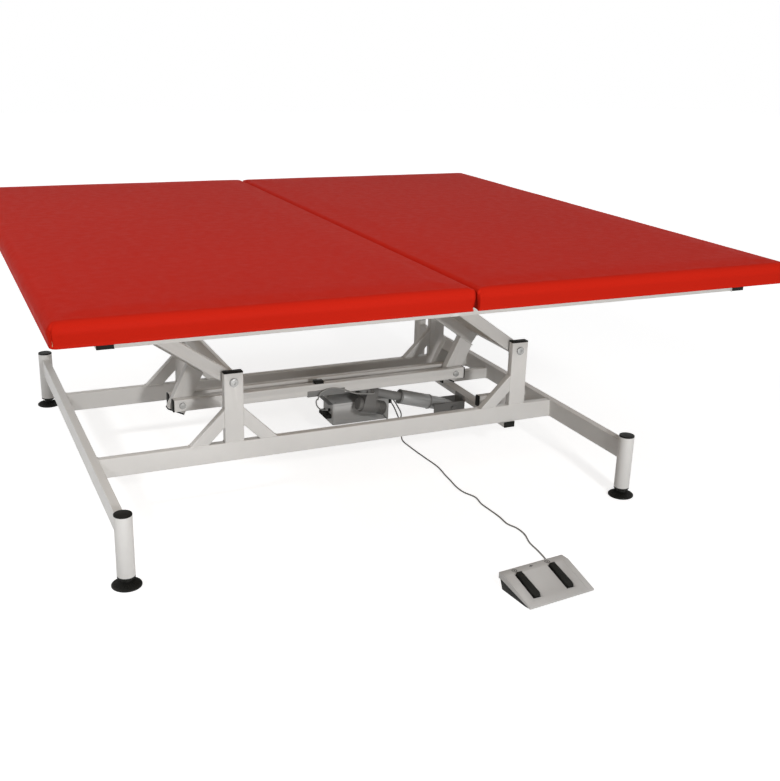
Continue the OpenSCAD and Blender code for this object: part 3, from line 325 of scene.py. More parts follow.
def tubeRings(bm, path, radius, sides=14, first=None, last=None, closed=False):
    # sweeps rings along a path, carrying the ring's side along so that it doesn't twist
    side, rings = Vector((0, 0, 1)), []
    count = len(path)
    for i, spot in enumerate(path):
        if closed:
            heading = (path[(i + 1) % count] - path[i - 1]).normalized()
        else:
            heading = (path[min(i + 1, count - 1)] - path[max(i - 1, 0)]).normalized()
        if i == 0 and first:
            heading = Vector(first)
        if i == count - 1 and last:
            heading = Vector(last)
        if abs(side.dot(heading)) > 0.999:
            side = Vector((1, 0, 0))
        side = (side - side.dot(heading) * heading).normalized()
        other = heading.cross(side)
        r = radius(i) if callable(radius) else radius
        rings.append([bm.verts.new(spot + r * (math.cos(2 * math.pi * j / sides) * side
                                               + math.sin(2 * math.pi * j / sides) * other))
                      for j in range(sides)])
    if closed:
        joinRings(bm, rings + rings[:1])
    else:
        joinRings(bm, rings)
        closeEnds(bm, rings)


def pathLength(path):
    return sum((b - a).length for a, b in zip(path, path[1:]))


def frameAt(spot, axis):
    # a matrix at the spot, in millimetres, whose Z is the axis; the axis lies level
    z = Vector(axis).normalized()
    x = Vector((0, 0, 1)).cross(z).normalized()
    return Matrix.Translation(Vector(spot) * mm) @ Matrix((x, z.cross(x), z)).transposed().to_4x4()


def ringAt(bm, place, count, reach, level):
    # one ring of points round the place's Z; reach and level are numbers or follow the angle
    ring = []
    for j in range(count):
        a = 2 * math.pi * j / count
        r, z = (f(a) if callable(f) else f for f in (reach, level))
        ring.append(bm.verts.new(place @ (Vector((r * math.cos(a), r * math.sin(a), z)) * mm)))
    return ring


def lathe(bm, profile, place, sides=40):
    # profile of (radius, height) in millimetres; a radius of 0, at either end, is a point on the axis
    rings = [ringAt(bm, place, sides if r else 1, r, z) for r, z in profile]
    for a, b in zip(rings, rings[1:]):
        for j in range(sides):
            k = (j + 1) % sides
            if len(a) == 1:
                bm.faces.new((a[0], b[k], b[j]))
            elif len(b) == 1:
                bm.faces.new((a[j], a[k], b[0]))
            else:
                bm.faces.new((a[j], a[k], b[k], b[j]))


hexShape = {"points": 36, "face": 0.95, "turnedFrom": 0.97, "turnedDown": 0.55, "socketFloor": 0.4}


def hexHead(bm, place, flats, height, hole):
    # hexagon with its corners turned down, and a hexagon socket where hole isn't 0
    def side(width):
        return lambda a: width / 2 / math.cos((a + math.pi / 6) % (math.pi / 3) - math.pi / 6)

    def turned(a):
        return height - (side(flats)(a) - flats / 2 * hexShape["turnedFrom"]) * hexShape["turnedDown"]

    outline = [(side(flats), 0), (side(flats), turned), (flats / 2 * hexShape["face"], height)]
    if hole:
        outline += [(side(hole), height), (side(hole), height * hexShape["socketFloor"])]
    rings = [ringAt(bm, place, hexShape["points"], reach, level) for reach, level in outline]
    joinRings(bm, rings)
    closeEnds(bm, rings)


# the foot switch's cord, from the control box over the floor
dropRoute = [(328, 46, 108), (328, 41, 107.3), (328.5, 34, 104), (330, 24, 98), (331, 12, 89),
             (331.5, 0, 80), (331.5, -11, 72.5), (331, -21, 67.5), (331, -32, 66)]
floorRoute = [(330, -42, 62), (327, -53, 44), (323, -62, 22), (321, -74, 7), (321, -96, 2.5),
              (322, -140, 2.5), (324, -190, 2.5), (328, -250, 2.5), (333, -330, 2.5), (325, -400, 2.5),
              (321, -443, 2.5), (315, -500, 2.5), (318, -545, 2.5), (334, -590, 2.5), (328, -640, 2.5),
              (331, -690, 2.5), (334, -740, 2.5), (332, -790, 2.5), (344, -826, 2.5), (344, -870, 2.5),
              (330, -920, 2.5), (326, -970, 2.5), (320, -1012, 3), (308, -1044, 8.5),
              (299.5, -1062, 14.5), (297, -1073, 17), (297.85, -1082.9, 17)]
switchTurn = math.radians(6)
cordRadius = 2.5


def makeCord():
    path = [p * mm for p in smoothPath(dropRoute + floorRoute, 6)]
    bm = bmesh.new()
    tubeRings(bm, path, cordRadius * mm, 14, (0, -1, 0), (math.sin(switchTurn), -math.cos(switchTurn), 0))
    cord = newPiece("footSwitchCord", bm, "cord_grey", None, ("switch_cord_drop", "switch_cord"))
    pathLength(path)
    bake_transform(cord)
    print("cord laid,", round(pathLength(path), 3), "m")


makeCord()


# copies of the solids with their edges rounded as on drawn tube and moulded parts
nodeBody = {n: b for b, names in frame["record"]["behaviour"]["bodies"].items() for n in names}
nodeLook = {s["node"]: s["material_slot"] for s in frame["record"]["subparts"]}


def softened(node, rim, corner=0.0, longEdge=0.0):
    # corner rounds the long outer edges of a tube, rim breaks the others; both in millimetres
    bm = bmesh.new()
    bm.from_mesh(nodes[node].data)
    bmesh.ops.remove_doubles(bm, verts=bm.verts, dist=0.000002)
    bmesh.ops.dissolve_limit(bm, angle_limit=math.radians(1.2), verts=bm.verts, edges=bm.edges)
    bmesh.ops.recalc_face_normals(bm, faces=bm.faces)

    def outer(e, least):
        return len(e.link_faces) == 2 and e.is_convex and e.calc_face_angle(0) > least

    if corner:
        edges = [e for e in bm.edges if outer(e, 1.0) and e.calc_length() > longEdge * mm]
        bmesh.ops.bevel(bm, geom=edges, offset=corner * mm, segments=4, profile=0.5, affect="EDGES")
    edges = [e for e in bm.edges if outer(e, 0.7)]
    bmesh.ops.bevel(bm, geom=edges, offset=rim * mm, segments=2, profile=0.5, affect="EDGES",
                    clamp_overlap=True)
    return newPiece(node + "_piece", bm, nodeLook[node], nodeBody[node], (node,), 32)


tubeEdges = {"corner": 2.4, "longEdge": 70, "rim": 0.4}
for node in ("long_rails", "posts", "post_braces", "support_tubes", "left_side_arms", "left_cross_tubes",
             "left_middle_arm", "left_lever", "right_side_arms", "right_cross_tubes", "right_middle_arm",
             "right_levers", "push_bars", "frame_end_tubes", "frame_long_rails", "frame_middle_tubes",
             "end_bars"):
    softened(node, **tubeEdges)
plainEdges = {
    "legs": 0.3, "leg_caps": 0.9, "leg_plugs": 0.8, "base_tube_caps": 1.4, "pivot_spacers": 1.2,
    "actuator_bracket": 1.0, "left_lever_cap": 1.6, "right_lever_caps": 1.6, "push_bar_caps": 1.4,
    "actuator_clevis": 0.8, "box_hanger": 0.8, "control_box_body": 1.4, "control_box_lid": 2.2,
    "control_board": 0.3, "box_connectors": 1.3, "gearbox": 2.4, "motor_barrel": 0.8, "motor_tail": 0.9,
    "lead_screw": 0.4, "outer_sleeve": 1.0, "sleeve_flange": 1.0, "rear_eye": 1.2,
    "frame_tube_caps": 1.2, "pivot_ears": 1.4, "switch_shell": 1.6, "switch_base": 0.8,
    "left_pedal": 1.8, "right_pedal": 1.8,
}
castPieces = ("gearbox", "motor_barrel", "motor_tail")
for node, rim in plainEdges.items():
    piece = softened(node, rim)
    if node in castPieces:
        piece.data.materials[0] = castGrey  # darker than its slot's own look
nodes["pad_boards"].data.materials.clear()
nodes["pad_boards"].data.materials.append(looks[nodeLook["pad_boards"]])
print("rounded pieces made")


# the two leads of the actuator, which ride with the control box
leadRoutes = {
    "motor_lead": [(93.7, 72, 97), (82, 71, 98), (58, 56, 110), (36, 30, 134), (22, 2, 160), (14, -26, 178),
                   (9, -48, 187), (9, -57, 200), (16, -58, 213), (34, -57, 222), (60, -55, 224),
                   (92, -55, 218), (116, -55, 208), (138, -54, 198), (166, -53, 191), (196, -52, 187),
                   (214, -50, 185.3), (220.5, -44, 185.3), (221, -33.3, 185.3)],
    "limit_switch_lead": [(239.1, 29.3, 117.7), (239.8, 33, 117.7), (247, 37, 116.5), (268, 38, 111),
                          (283, 38, 98), (291, 38, 80), (302, 38, 58), (322, 38, 41), (348, 42, 34),
                          (372, 52, 37), (379, 62, 52), (369, 71, 76), (358, 78, 96), (348, 81.5, 106),
                          (334.3, 82, 108)],
}
for node, route in leadRoutes.items():
    bm = bmesh.new()
    tubeRings(bm, [p * mm for p in smoothPath(route, 6)], cordRadius * mm, 14)
    newPiece(node + "_piece", bm, nodeLook[node], nodeBody[node], (node,))


# the drawn steelwork that feet, bolts and weld beads keep to, in millimetres
tubeHalf = 12.5
railY = 304
baseSteel = {"legX": 783, "legY": 737, "legRadius": 24.15, "low": 124, "high": 184, "postHalf": 30,
             "braceFoot": (51.4, 108), "braceTop": (235.4, 292), "stubY": 140, "stubHigh": 164,
             "crossTube": (590, 630)}
crankSteel = {"length": 500, "rise": 35.2, "half": 20, "armInner": 261.2, "middleHalf": 15, "leverTop": -60,
              "weldGap": 5, "leverLength": 181, "leverTilt": 31, "leverReach": (-36.7, 24.1)}
topSteel = {"low": 693.2, "high": 733.2, "ends": (-828, 996), "half": 20, "middle": (67, 169),
            "edge": (860, 899), "earHalf": 29, "ear": (291.5, 286.5)}
pivotX = (-363, 634)
pivotZ = 376
armRise = math.radians(crankSteel["rise"])
leverTilt = math.radians(crankSteel["leverTilt"])
upperX = [x - crankSteel["length"] * math.cos(armRise) for x in pivotX]
upperZ = pivotZ + crankSteel["length"] * math.sin(armRise)
pinX = [x - crankSteel["leverLength"] * math.sin(leverTilt) for x in pivotX]
pinZ = pivotZ - crankSteel["leverLength"] * math.cos(leverTilt)


# levelling feet: rounded rim, dished top with shallow ribs, neck and stem
footShape = {"disc": 40, "neck": 11, "neckHigh": 25.7, "stem": 6, "high": 54, "ribs": 24, "rib": 0.8}


def levellingFoot(node, x, y):
    bm = bmesh.new()
    place = Matrix.Translation((x * mm, y * mm, 0))
    r, neck, stem, high = footShape["disc"], footShape["neck"], footShape["stem"], footShape["high"]
    profile = [(0, 0), (r - 2.2, 0), (r - 1.2, 0.5), (r - 0.2, 1.4), (r, 2.2), (r, 4.0), (r - 0.5, 5.0),
               (r - 1.4, 5.8), (r - 3, 6.7), (r - 8, 8.3), (r - 16, 10.8), (neck + 5, 13.2), (neck + 2, 14.6),
               (neck + 0.6, 16.2), (neck, 18), (neck, footShape["neckHigh"] - 0.5),
               (neck - 0.5, footShape["neckHigh"]), (stem, footShape["neckHigh"]), (stem, high - 0.6),
               (stem - 0.6, high), (0, high)]
    lathe(bm, profile, place, 64)
    for i in range(footShape["ribs"]):
        a = 2 * math.pi * i / footShape["ribs"]
        spots = [Vector((x + q * math.cos(a), y + q * math.sin(a), h)) * mm
                 for q, h in ((neck + 3.4, 14.2), (r - 17, 11.3), (r - 9, 8.9), (r - 4, 7.3))]
        tubeRings(bm, spots, footShape["rib"] * mm, 6)
    newPiece(node + "_piece", bm, nodeLook[node], nodeBody[node], (node,), 30)


for row, sy in (("front", -1), ("rear", 1)):
    for side, sx in (("left", -1), ("right", 1)):
        levellingFoot(row + "_" + side + "_foot", sx * baseSteel["legX"], sy * baseSteel["legY"])


# bolts: washer, hexagon head with turned-down corners, plain shank
washerShape = {"thick": 1.8, "rim": 0.4}
headHigh = 4.2
pivotBolt = {"flats": 23.5, "washer": 14, "shank": 8, "hole": 10}
leverPin = {"flats": 18.5, "washer": 11, "shank": 6, "hole": 0}
pinSpacer = {"bore": 6.1, "radius": 13, "thick": 4.9, "start": 15.3}  # between lever and push bar


def boltWithHead(bm, spot, side, length, flats, washer, shank, hole):
    # the head stands out from spot toward side, the shank runs the other way
    place = frameAt(spot, (0, side, 0))
    thick, rim = washerShape["thick"], washerShape["rim"]
    lathe(bm, [(0, 0), (washer - rim, 0), (washer, rim), (washer, thick - rim), (washer - rim, thick),
               (0, thick)], place, 40)
    hexHead(bm, place @ Matrix.Translation((0, 0, thick * mm)), flats, headHigh, hole)
    lathe(bm, [(0, 0.2), (shank, 0.2), (shank, -length), (0, -length)], place, 32)


def spacerRing(bm, x, side):
    bore, r, thick, rim = pinSpacer["bore"], pinSpacer["radius"], pinSpacer["thick"], washerShape["rim"]
    place = frameAt((x, side * pinSpacer["start"], pinZ), (0, side, 0))
    lathe(bm, [(bore, 0), (r - rim, 0), (r, rim), (r, thick - rim), (r - rim, thick), (bore, thick),
               (bore, 0)], place, 36)


# each set: two in a row along the rails, on both sides; y is where the washer sits
boltSets = {
    "crankBolts": {"body": "base", "node": "crank_pivot_bolts", "bolt": pivotBolt, "length": 54,
                   "xs": pivotX, "y": 316.5, "z": pivotZ},
    "upperBolts": {"body": "top_frame", "node": "upper_pivot_bolts", "bolt": pivotBolt, "length": 29,
                   "xs": upperX, "y": topSteel["ear"][0], "z": upperZ},
    "leverPinSet": {"body": "push_bar_group", "node": "lever_pins", "bolt": leverPin, "length": 45,
                    "xs": pinX, "y": 45.5, "z": pinZ},
}


def setBolts(name, body, node, bolt, length, xs, y, z):
    bm = bmesh.new()
    for x in xs:
        for s in (-1, 1):
            boltWithHead(bm, (x, s * y, z), s, length, **bolt)
            if bolt is leverPin:
                spacerRing(bm, x, s)
    newPiece(name, bm, "zinc_steel", body, (node,), 30)


for name, bolts in boltSets.items():
    setBolts(name, **bolts)
print("feet and bolts made")


# weld beads round the tube ends, painted over with the frame
weldBead = {"radius": 1.7, "ripple": 0.35, "wobble": 0.3, "wobbleScale": 90, "pitch": 3.2}


def bead(bm, corners, turn=None, closed=True):
    # runs along the corners, in millimetres, with the small ripples of a hand weld
    path, spots = [], [Vector(c) for c in corners]
    for a, b in zip(spots, spots[1:] + (spots[:1] if closed else [])):
        steps = max(2, int((b - a).length / weldBead["pitch"] * 2))
        path += [a.lerp(b, i / steps) for i in range(steps)]
    if not closed:
        path.append(spots[-1])
    if turn:
        path = [turn @ p for p in path]
    path = [p * mm for p in path]

    def radius(i):
        wobble = weldBead["wobble"] * noise.noise(path[i] * weldBead["wobbleScale"])
        return (weldBead["radius"] + weldBead["ripple"] * math.cos(i * math.pi) + wobble) * mm

    tubeRings(bm, path, radius, 8, closed=closed)


def plate(x, y, z):
    # corners of a rectangle that lies square to one axis: a number is its plane, a pair its reach
    if not isinstance(x, tuple):
        return [(x, y[0], z[0]), (x, y[1], z[0]), (x, y[1], z[1]), (x, y[0], z[1])]
    if not isinstance(y, tuple):
        return [(x[0], y, z[0]), (x[1], y, z[0]), (x[1], y, z[1]), (x[0], y, z[1])]
    return [(x[0], y[0], z), (x[1], y[0], z), (x[1], y[1], z), (x[0], y[1], z)]


def slab(bm, x, y, z, place=None):
    # a small plate between three pairs of limits
    block = bmesh.ops.create_cube(bm, size=1)["verts"]
    for v in block:
        v.co = Vector([(a + b) / 2 + (b - a) * c for (a, b), c in zip((x, y, z), v.co)])
        v.co = (place @ v.co if place else v.co) * mm


def across(y):
    # a tube's reach to both sides of its middle
    return y - tubeHalf, y + tubeHalf


def weldBase():
    steel = baseSteel
    low, high, half, inner = steel["low"], steel["high"], steel["postHalf"], steel["legX"] - tubeHalf
    bm = bmesh.new()
    for s in (-1, 1):
        rail, stub = across(s * railY), across(s * steel["stubY"])
        for x in (-inner, inner):
            bead(bm, plate(x, rail, (low, high)))
        for x in pivotX:
            bead(bm, plate((x - half, x + half), rail, high))
        for x, way in ((pivotX[0] - half, -1), (pivotX[0] + half, 1), (pivotX[1] - half, -1)):
            bead(bm, plate(tuple(x + way * a for a in steel["braceFoot"]), rail, high))
            bead(bm, plate(x, rail, steel["braceTop"]))
        bead(bm, plate(inner, stub, (low, steel["stubHigh"])))
        for x in steel["crossTube"]:
            bead(bm, [(x, y, low - 0.5) for y in rail], closed=False)
            bead(bm, [(x, y, low - 0.2) for y in stub], closed=False)
        for x in (-steel["legX"], steel["legX"]):
            # where an end bar meets the round leg
            arc = [x + a for a in (-tubeHalf, -8, -3, 3, 8, tubeHalf)]
            deep = [s * (steel["legY"] - math.sqrt(steel["legRadius"] ** 2 - (a - x) ** 2)) for a in arc]
            ring = list(zip(arc, deep))
            bead(bm, [(*spot, high) for spot in ring] + [(*spot, low) for spot in ring[::-1]])
    newPiece("baseWelds", bm, "white_paint", "base", (), 60)


# plates that close the middle arm's end, the lever's top and the second lever's top
closingPlates = {"arm": ((15.5, 17.6), (-13, 13), (-58, -22)), "lever": ((17, 24.1), (-15, 15), (-60, -58)),
                 "second": ((-18, 18), (87.5, 108.5), (92, 94.5))}
secondLever = {"tilt": 26, "reach": (55, 95), "faces": (85.2, 15.2)}


def weldCrank(body, x):
    steel = crankSteel
    half, middle, top = steel["half"], steel["middleHalf"], steel["leverTop"]
    turn = Matrix.Translation((x, 0, pivotZ)) @ Matrix.Rotation(armRise, 4, "Y")
    bm = bmesh.new()
    for s in (-1, 1):
        bead(bm, plate((-half, half), s * steel["armInner"], (-half, half)), turn)
        angles = [a * math.pi / 12 for a in range(24)]
        bead(bm, [(-steel["length"] + half * math.cos(a), s * steel["armInner"], half * math.sin(a))
                  for a in angles], turn)
        for a in (-half, half):
            bead(bm, [(a, s * middle, -half), (a, s * steel["weldGap"], -half)], turn, closed=False)
    bead(bm, plate(steel["leverReach"], (-middle, middle), top), turn)
    slab(bm, *closingPlates["arm"], turn)
    slab(bm, *closingPlates["lever"], turn)
    if x == pivotX[1]:
        lever = (Matrix.Translation((pinX[1], 0, pinZ))
                 @ Matrix.Rotation(math.radians(secondLever["tilt"]), 4, "Y"))
        slab(bm, *closingPlates["second"], lever)
        for y in secondLever["faces"]:
            bead(bm, plate((-half, half), y, secondLever["reach"]), lever)
    newPiece(body + "Welds", bm, "white_paint", body, (), 60)


def weldTop():
    steel = topSteel
    low, high, half = steel["low"], steel["high"] - 1, steel["half"]
    bm = bmesh.new()
    for s in (-1, 1):
        for x, way in zip(steel["ends"], (1, -1)):
            bead(bm, plate(x + way * half, across(s * railY), (low, high)))
            bead(bm, [(x + way * half, s * y, low) for y in steel["edge"]], closed=False)
        for x in steel["middle"]:
            for y in (railY - tubeHalf, railY + tubeHalf, steel["edge"][0]):
                bead(bm, plate((x - half, x + half), s * y, (low, high)))
        for x in upperX:
            for y in steel["ear"]:
                bead(bm, [(x + way * steel["earHalf"], s * y, low) for way in (-1, 1)], closed=False)
    newPiece("topFrameWelds", bm, "white_paint", "top_frame", (), 60)


weldBase()
weldCrank("left_crank", pivotX[0])
weldCrank("right_crank", pivotX[1])
weldTop()
print("weld beads made")


# foot switch: marks on the flat strip, ribs on the pedals, rubber pads below; its own millimetres
switchShape = {"spot": (223.5, -1093), "high": 45, "rise": 36, "run": 111, "strip": -13, "hinge": -27,
               "pedals": {"left_pedal": -65, "right_pedal": 45}, "pads": ((-82, 82), (-24, -104))}
markShape = {"outer": 7.4, "inner": 5.6, "line": 0.5, "tip": 2.6, "spread": 2.4, "stem": 2.8, "thick": 0.15,
             "dot": (-10, 3.0, 0.4), "dash": (-16, -4), "dashHalf": 0.7}
ribShape = {"count": 14, "first": -14, "pitch": 5, "half": 5.6, "growth": 0.19, "level": 7.75, "radius": 0.75}
switchPlace = (Matrix.Translation((switchShape["spot"][0] * mm, switchShape["spot"][1] * mm, 0))
               @ Matrix.Rotation(switchTurn, 4, "Z"))
switchSlope = math.atan(switchShape["rise"] / switchShape["run"])


def onSwitch(*spot):
    return switchPlace @ (Vector(spot) * mm)


def ringMark(bm, x, outer, inner):
    thick = markShape["thick"]
    spot = Vector((x, switchShape["strip"], switchShape["high"] + 0.05)) * mm
    lathe(bm, [(inner, 0), (outer, 0), (outer, thick), (inner, thick), (inner, 0)],
          switchPlace @ Matrix.Translation(spot), 28)


def switchMarks():
    # a plain arrow in a ring over each pedal, one up and one down, and between them a dot on a dash
    bm = bmesh.new()
    row, level = switchShape["strip"], switchShape["high"] + 0.1
    for x in switchShape["pedals"].values():
        ringMark(bm, x, markShape["outer"], markShape["inner"])
        tip = row + math.copysign(markShape["tip"], -x)
        for way in (-1, 1):
            tubeRings(bm, [onSwitch(x, tip, level), onSwitch(x + way * markShape["spread"], row, level)],
                      markShape["line"] * mm, 6)
        tubeRings(bm, [onSwitch(x, row + way * markShape["stem"], level) for way in (-1, 1)],
                  markShape["line"] * mm, 6)
    ringMark(bm, *markShape["dot"])
    tubeRings(bm, [onSwitch(x, row, level) for x in markShape["dash"]], markShape["dashHalf"] * mm, 6)
    newPiece("switchMarks", bm, markInk, "base", (), 40)


def pedalRibs(node, x):
    bm = bmesh.new()
    slope = (switchPlace @ Matrix.Translation((x * mm, switchShape["hinge"] * mm, switchShape["high"] * mm))
             @ Matrix.Rotation(switchSlope, 4, "X"))
    for i in range(ribShape["count"]):
        y, half = ribShape["first"] - i * ribShape["pitch"], ribShape["half"] + i * ribShape["growth"]
        tubeRings(bm, [slope @ (Vector((a, y, ribShape["level"])) * mm) for a in (-half, half)],
                  ribShape["radius"] * mm, 8)
    newPiece(node + "Ribs", bm, "black_plastic", nodeBody[node], (), 40)


def switchPads():
    bm = bmesh.new()
    for x in switchShape["pads"][0]:
        for y in switchShape["pads"][1]:
            lathe(bm, [(0, 0), (8, 0), (8.6, 0.4), (8.6, 1.2), (0, 1.2)],
                  switchPlace @ Matrix.Translation((x * mm, y * mm, 0)), 24)
    newPiece("switchRubberPads", bm, "black_plastic", "base", (), 30)


switchMarks()
for node, x in switchShape["pedals"].items():
    pedalRibs(node, x)
switchPads()


# dark cover round the gearbox's lower half and the motor, which hangs across the actuator
actuatorPlace = Matrix.Translation((190 * mm, 0, 185.85 * mm)) @ Matrix.Rotation(math.radians(16), 4, "Y")
motorCover = {"half": 25.4, "top": -21, "shoulder": -44, "centre": -52, "radius": 27.4, "middle": -40,
              "start": 15.2, "end": 58.6, "cap": 22.4, "capDeep": 14,
              "arcStart": 1.07, "arcSweep": 0.86, "arcSteps": 18}  # the arc in half turns


def motorJacket():
    c = motorCover
    half, r = c["half"], c["radius"]
    steps = c["arcSteps"]
    arc = [math.pi * (c["arcStart"] + i * c["arcSweep"] / steps) for i in range(steps + 1)]
    outline = ([(-half, c["top"]), (-half, c["shoulder"])]
               + [(r * math.cos(a), c["centre"] + r * math.sin(a)) for a in arc]
               + [(half, c["shoulder"]), (half, c["top"])])
    # both rims are drawn in a little towards the middle
    stations = ((c["start"], 0.96), (c["start"] + 0.4, 0.985), (c["start"] + 1.2, 1),
                (c["end"] - 0.8, 1), (c["end"] - 0.2, 0.985), (c["end"], 0.96))
    bm = bmesh.new()
    rings = [[bm.verts.new(actuatorPlace @ (Vector((u, y * k, (z - c["middle"]) * k + c["middle"])) * mm))
              for y, z in outline] for u, k in stations]
    joinRings(bm, rings)
    closeEnds(bm, rings)
    face = (actuatorPlace @ Matrix.Translation(((c["start"] + 0.2) * mm, 0, c["centre"] * mm))
            @ Matrix.Rotation(math.radians(-90), 4, "Y"))
    cap, deep = c["cap"], c["capDeep"]
    lathe(bm, [(0, 0), (cap, 0), (cap, deep - 1.4), (cap - 1, deep - 0.4), (9, deep), (0, deep)], face, 40)
    newPiece("motorJacket", bm, "dark_paint", "actuator_motor", (), 30).data.materials[0] = castGrey


motorJacket()


# slim drive tube between the gearbox and the sleeve, and the seal that closes the sleeve's mouth round it
driveShape = {"radius": 16, "start": 57.5, "end": 208, "gap": 0.15, "sealRadius": 21, "seal": (153.4, 158)}


def driveTube():
    axis = actuatorPlace @ Matrix.Rotation(math.radians(90), 4, "Y")
    radius, start, end = driveShape["radius"], driveShape["start"], driveShape["end"]
    bm = bmesh.new()
    lathe(bm, [(0, start), (radius, start), (radius, end), (0, end)], axis, 36)
    tube = newPiece("driveTube", bm, "tube_grey", "actuator_motor", ("inner_tube",), 30)
    tube.data.materials[0] = looks["dark_paint"]
    bm = bmesh.new()
    inner, outer, (front, back) = radius + driveShape["gap"], driveShape["sealRadius"], driveShape["seal"]
    lathe(bm, [(inner, back), (inner, front), (outer - 1, front), (outer, front + 1), (outer, back),
               (inner, back)], axis, 36)
    bmesh.ops.remove_doubles(bm, verts=bm.verts, dist=0.001 * mm)
    newPiece("sleeveSeal", bm, "dark_paint", "actuator_sleeve", (), 30)


driveTube()


# control box: top sheet that stands out to the left, lid screws, collars round its sockets
boxDetails = {"topSheet": ((86, 103), (45, 143), (124.1, 125.8)), "screws": ((116, 308), (58, 130), 125.6),
              "sockets": (82, (68, 85, 102, 119), 75.5)}


def dressControlBox():
    bm = bmesh.new()
    slab(bm, *boxDetails["topSheet"])
    newPiece("boxTopSheet", bm, "dark_paint", "push_bar_group", (), 30)
    bm = bmesh.new()
    xs, ys, z = boxDetails["screws"]
    for x in xs:
        for y in ys:
            lathe(bm, [(0, 0), (3.6, 0), (3.6, 0.5), (3.2, 0.8), (0, 0.9)],
                  Matrix.Translation((x * mm, y * mm, z * mm)), 24)
    newPiece("boxScrews", bm, "zinc_steel", "push_bar_group", (), 30)
    bm = bmesh.new()
    x, ys, z = boxDetails["sockets"]
    for y in ys:
        lathe(bm, [(4.2, -1), (6, -1), (6, 2.0), (5.5, 2.4), (4.6, 2.4), (4.2, 2.0), (4.2, -1)],
              frameAt((x, y, z), (-1, 0, 0)), 24)
    newPiece("socketCollars", bm, "black_plastic", "push_bar_group", (), 30)


dressControlBox()
print("switch and box details made")


# the two pads: foam on a board under stretched upholstery
padShape = {"length": 1029.5, "width": 2000, "low": 733.2, "height": 60, "crown": 2.0,
            "edge": 24, "corner": 24, "innerEdge": 14, "innerCorner": 9,  # tighter along the divide
            "drawnIn": 6.0, "tuck": 38, "sideDeep": 11,  # the sides lean in below this height
            "lip": 12.4, "recess": 15.4,  # the cover's hem under the board, and the board's place
            "droop": 2.6, "droopHigh": 17, "droopClear": (60, 14)}
clothShape = {"quality": 4, "mass": 0.6, "stretch": 18, "bending": 1.2, "pressure": 4.0, "steps": 20,
              "share": 0.6, "cap": 5.0}
wrinkles = {"slow": 0.004, "quick": 0.021, "quickUp": 0.03, "layer": 3.1,
            "sideAbove": 3, "sideDeep": 3, "sideUneven": 0.5, "sideIn": 0.8,
            "topAbove": 40, "topUneven": 0.6, "rimWide": 60, "rimUneven": 0.3, "flatUneven": 0.08,
            "foldReach": 60, "foldWidth": 0.13, "foldDeep": 2.6}
seamShape = {"heights": (2, 9, 17, 24, 31, 36, 41), "radius": 0.75, "stitches": 9, "apart": 2.4,
             "proud": 0.25, "stitchHalf": 1.4, "thread": 0.32}


def drawnIn(shape, z):
    # how far the side leans in at this height
    return shape["drawnIn"] * max(0, 1 - z / shape["tuck"]) ** 2


def gridLines(total, step):
    # fine at both ends, coarse between
    edge = [0, 3, 6.5, 10, 12.2, 12.6, 15, 18.5, 22, 27, 34, 44, 58, 76]
    middle = total - 2 * edge[-1]
    count = max(2, round(middle / step))
    return edge + [edge[-1] + middle * i / count for i in range(1, count)] + [total - e for e in edge[::-1]]


def paddedBox(shape, inner):
    # a closed grid box with round corners and upper edges; inner is the side of the divide, -1 or 1
    xs, ys = gridLines(shape["length"], 26), gridLines(shape["width"], 26)
    hx, hy, h = shape["length"] / 2, shape["width"] / 2, shape["height"]
    zs = [0, 2.5, 6, 11, 17, 24, 31] + [31 + (h - 31) * i / 7 for i in range(1, 8)]
    verts, faces, seen = [], [], {}

    def vert(i, j, k):
        key = (i, j, k)
        if key not in seen:
            seen[key] = len(verts)
            verts.append(roundedSpot(xs[i] - hx, ys[j] - hy, zs[k], shape, inner))
        return seen[key]

    last = (len(xs) - 1, len(ys) - 1, len(zs) - 1)
    for i in range(last[0]):
        for j in range(last[1]):
            for k, flip in ((0, True), (last[2], False)):
                quad = [vert(i, j, k), vert(i + 1, j, k), vert(i + 1, j + 1, k), vert(i, j + 1, k)]
                faces.append(quad[::-1] if flip else quad)
    for k in range(last[2]):
        for i in range(last[0]):
            for j, flip in ((0, False), (last[1], True)):
                quad = [vert(i, j, k), vert(i + 1, j, k), vert(i + 1, j, k + 1), vert(i, j, k + 1)]
                faces.append(quad[::-1] if flip else quad)
        for j in range(last[1]):
            for i, flip in ((0, True), (last[0], False)):
                quad = [vert(i, j, k), vert(i, j + 1, k), vert(i, j + 1, k + 1), vert(i, j, k + 1)]
                faces.append(quad[::-1] if flip else quad)
    return verts, faces


def squareToDisc(a, b):
    # moves a point of the unit square onto the quarter disc
    long = math.hypot(a, b)
    return (a * max(a, b) / long, b * max(a, b) / long) if long else (a, b)


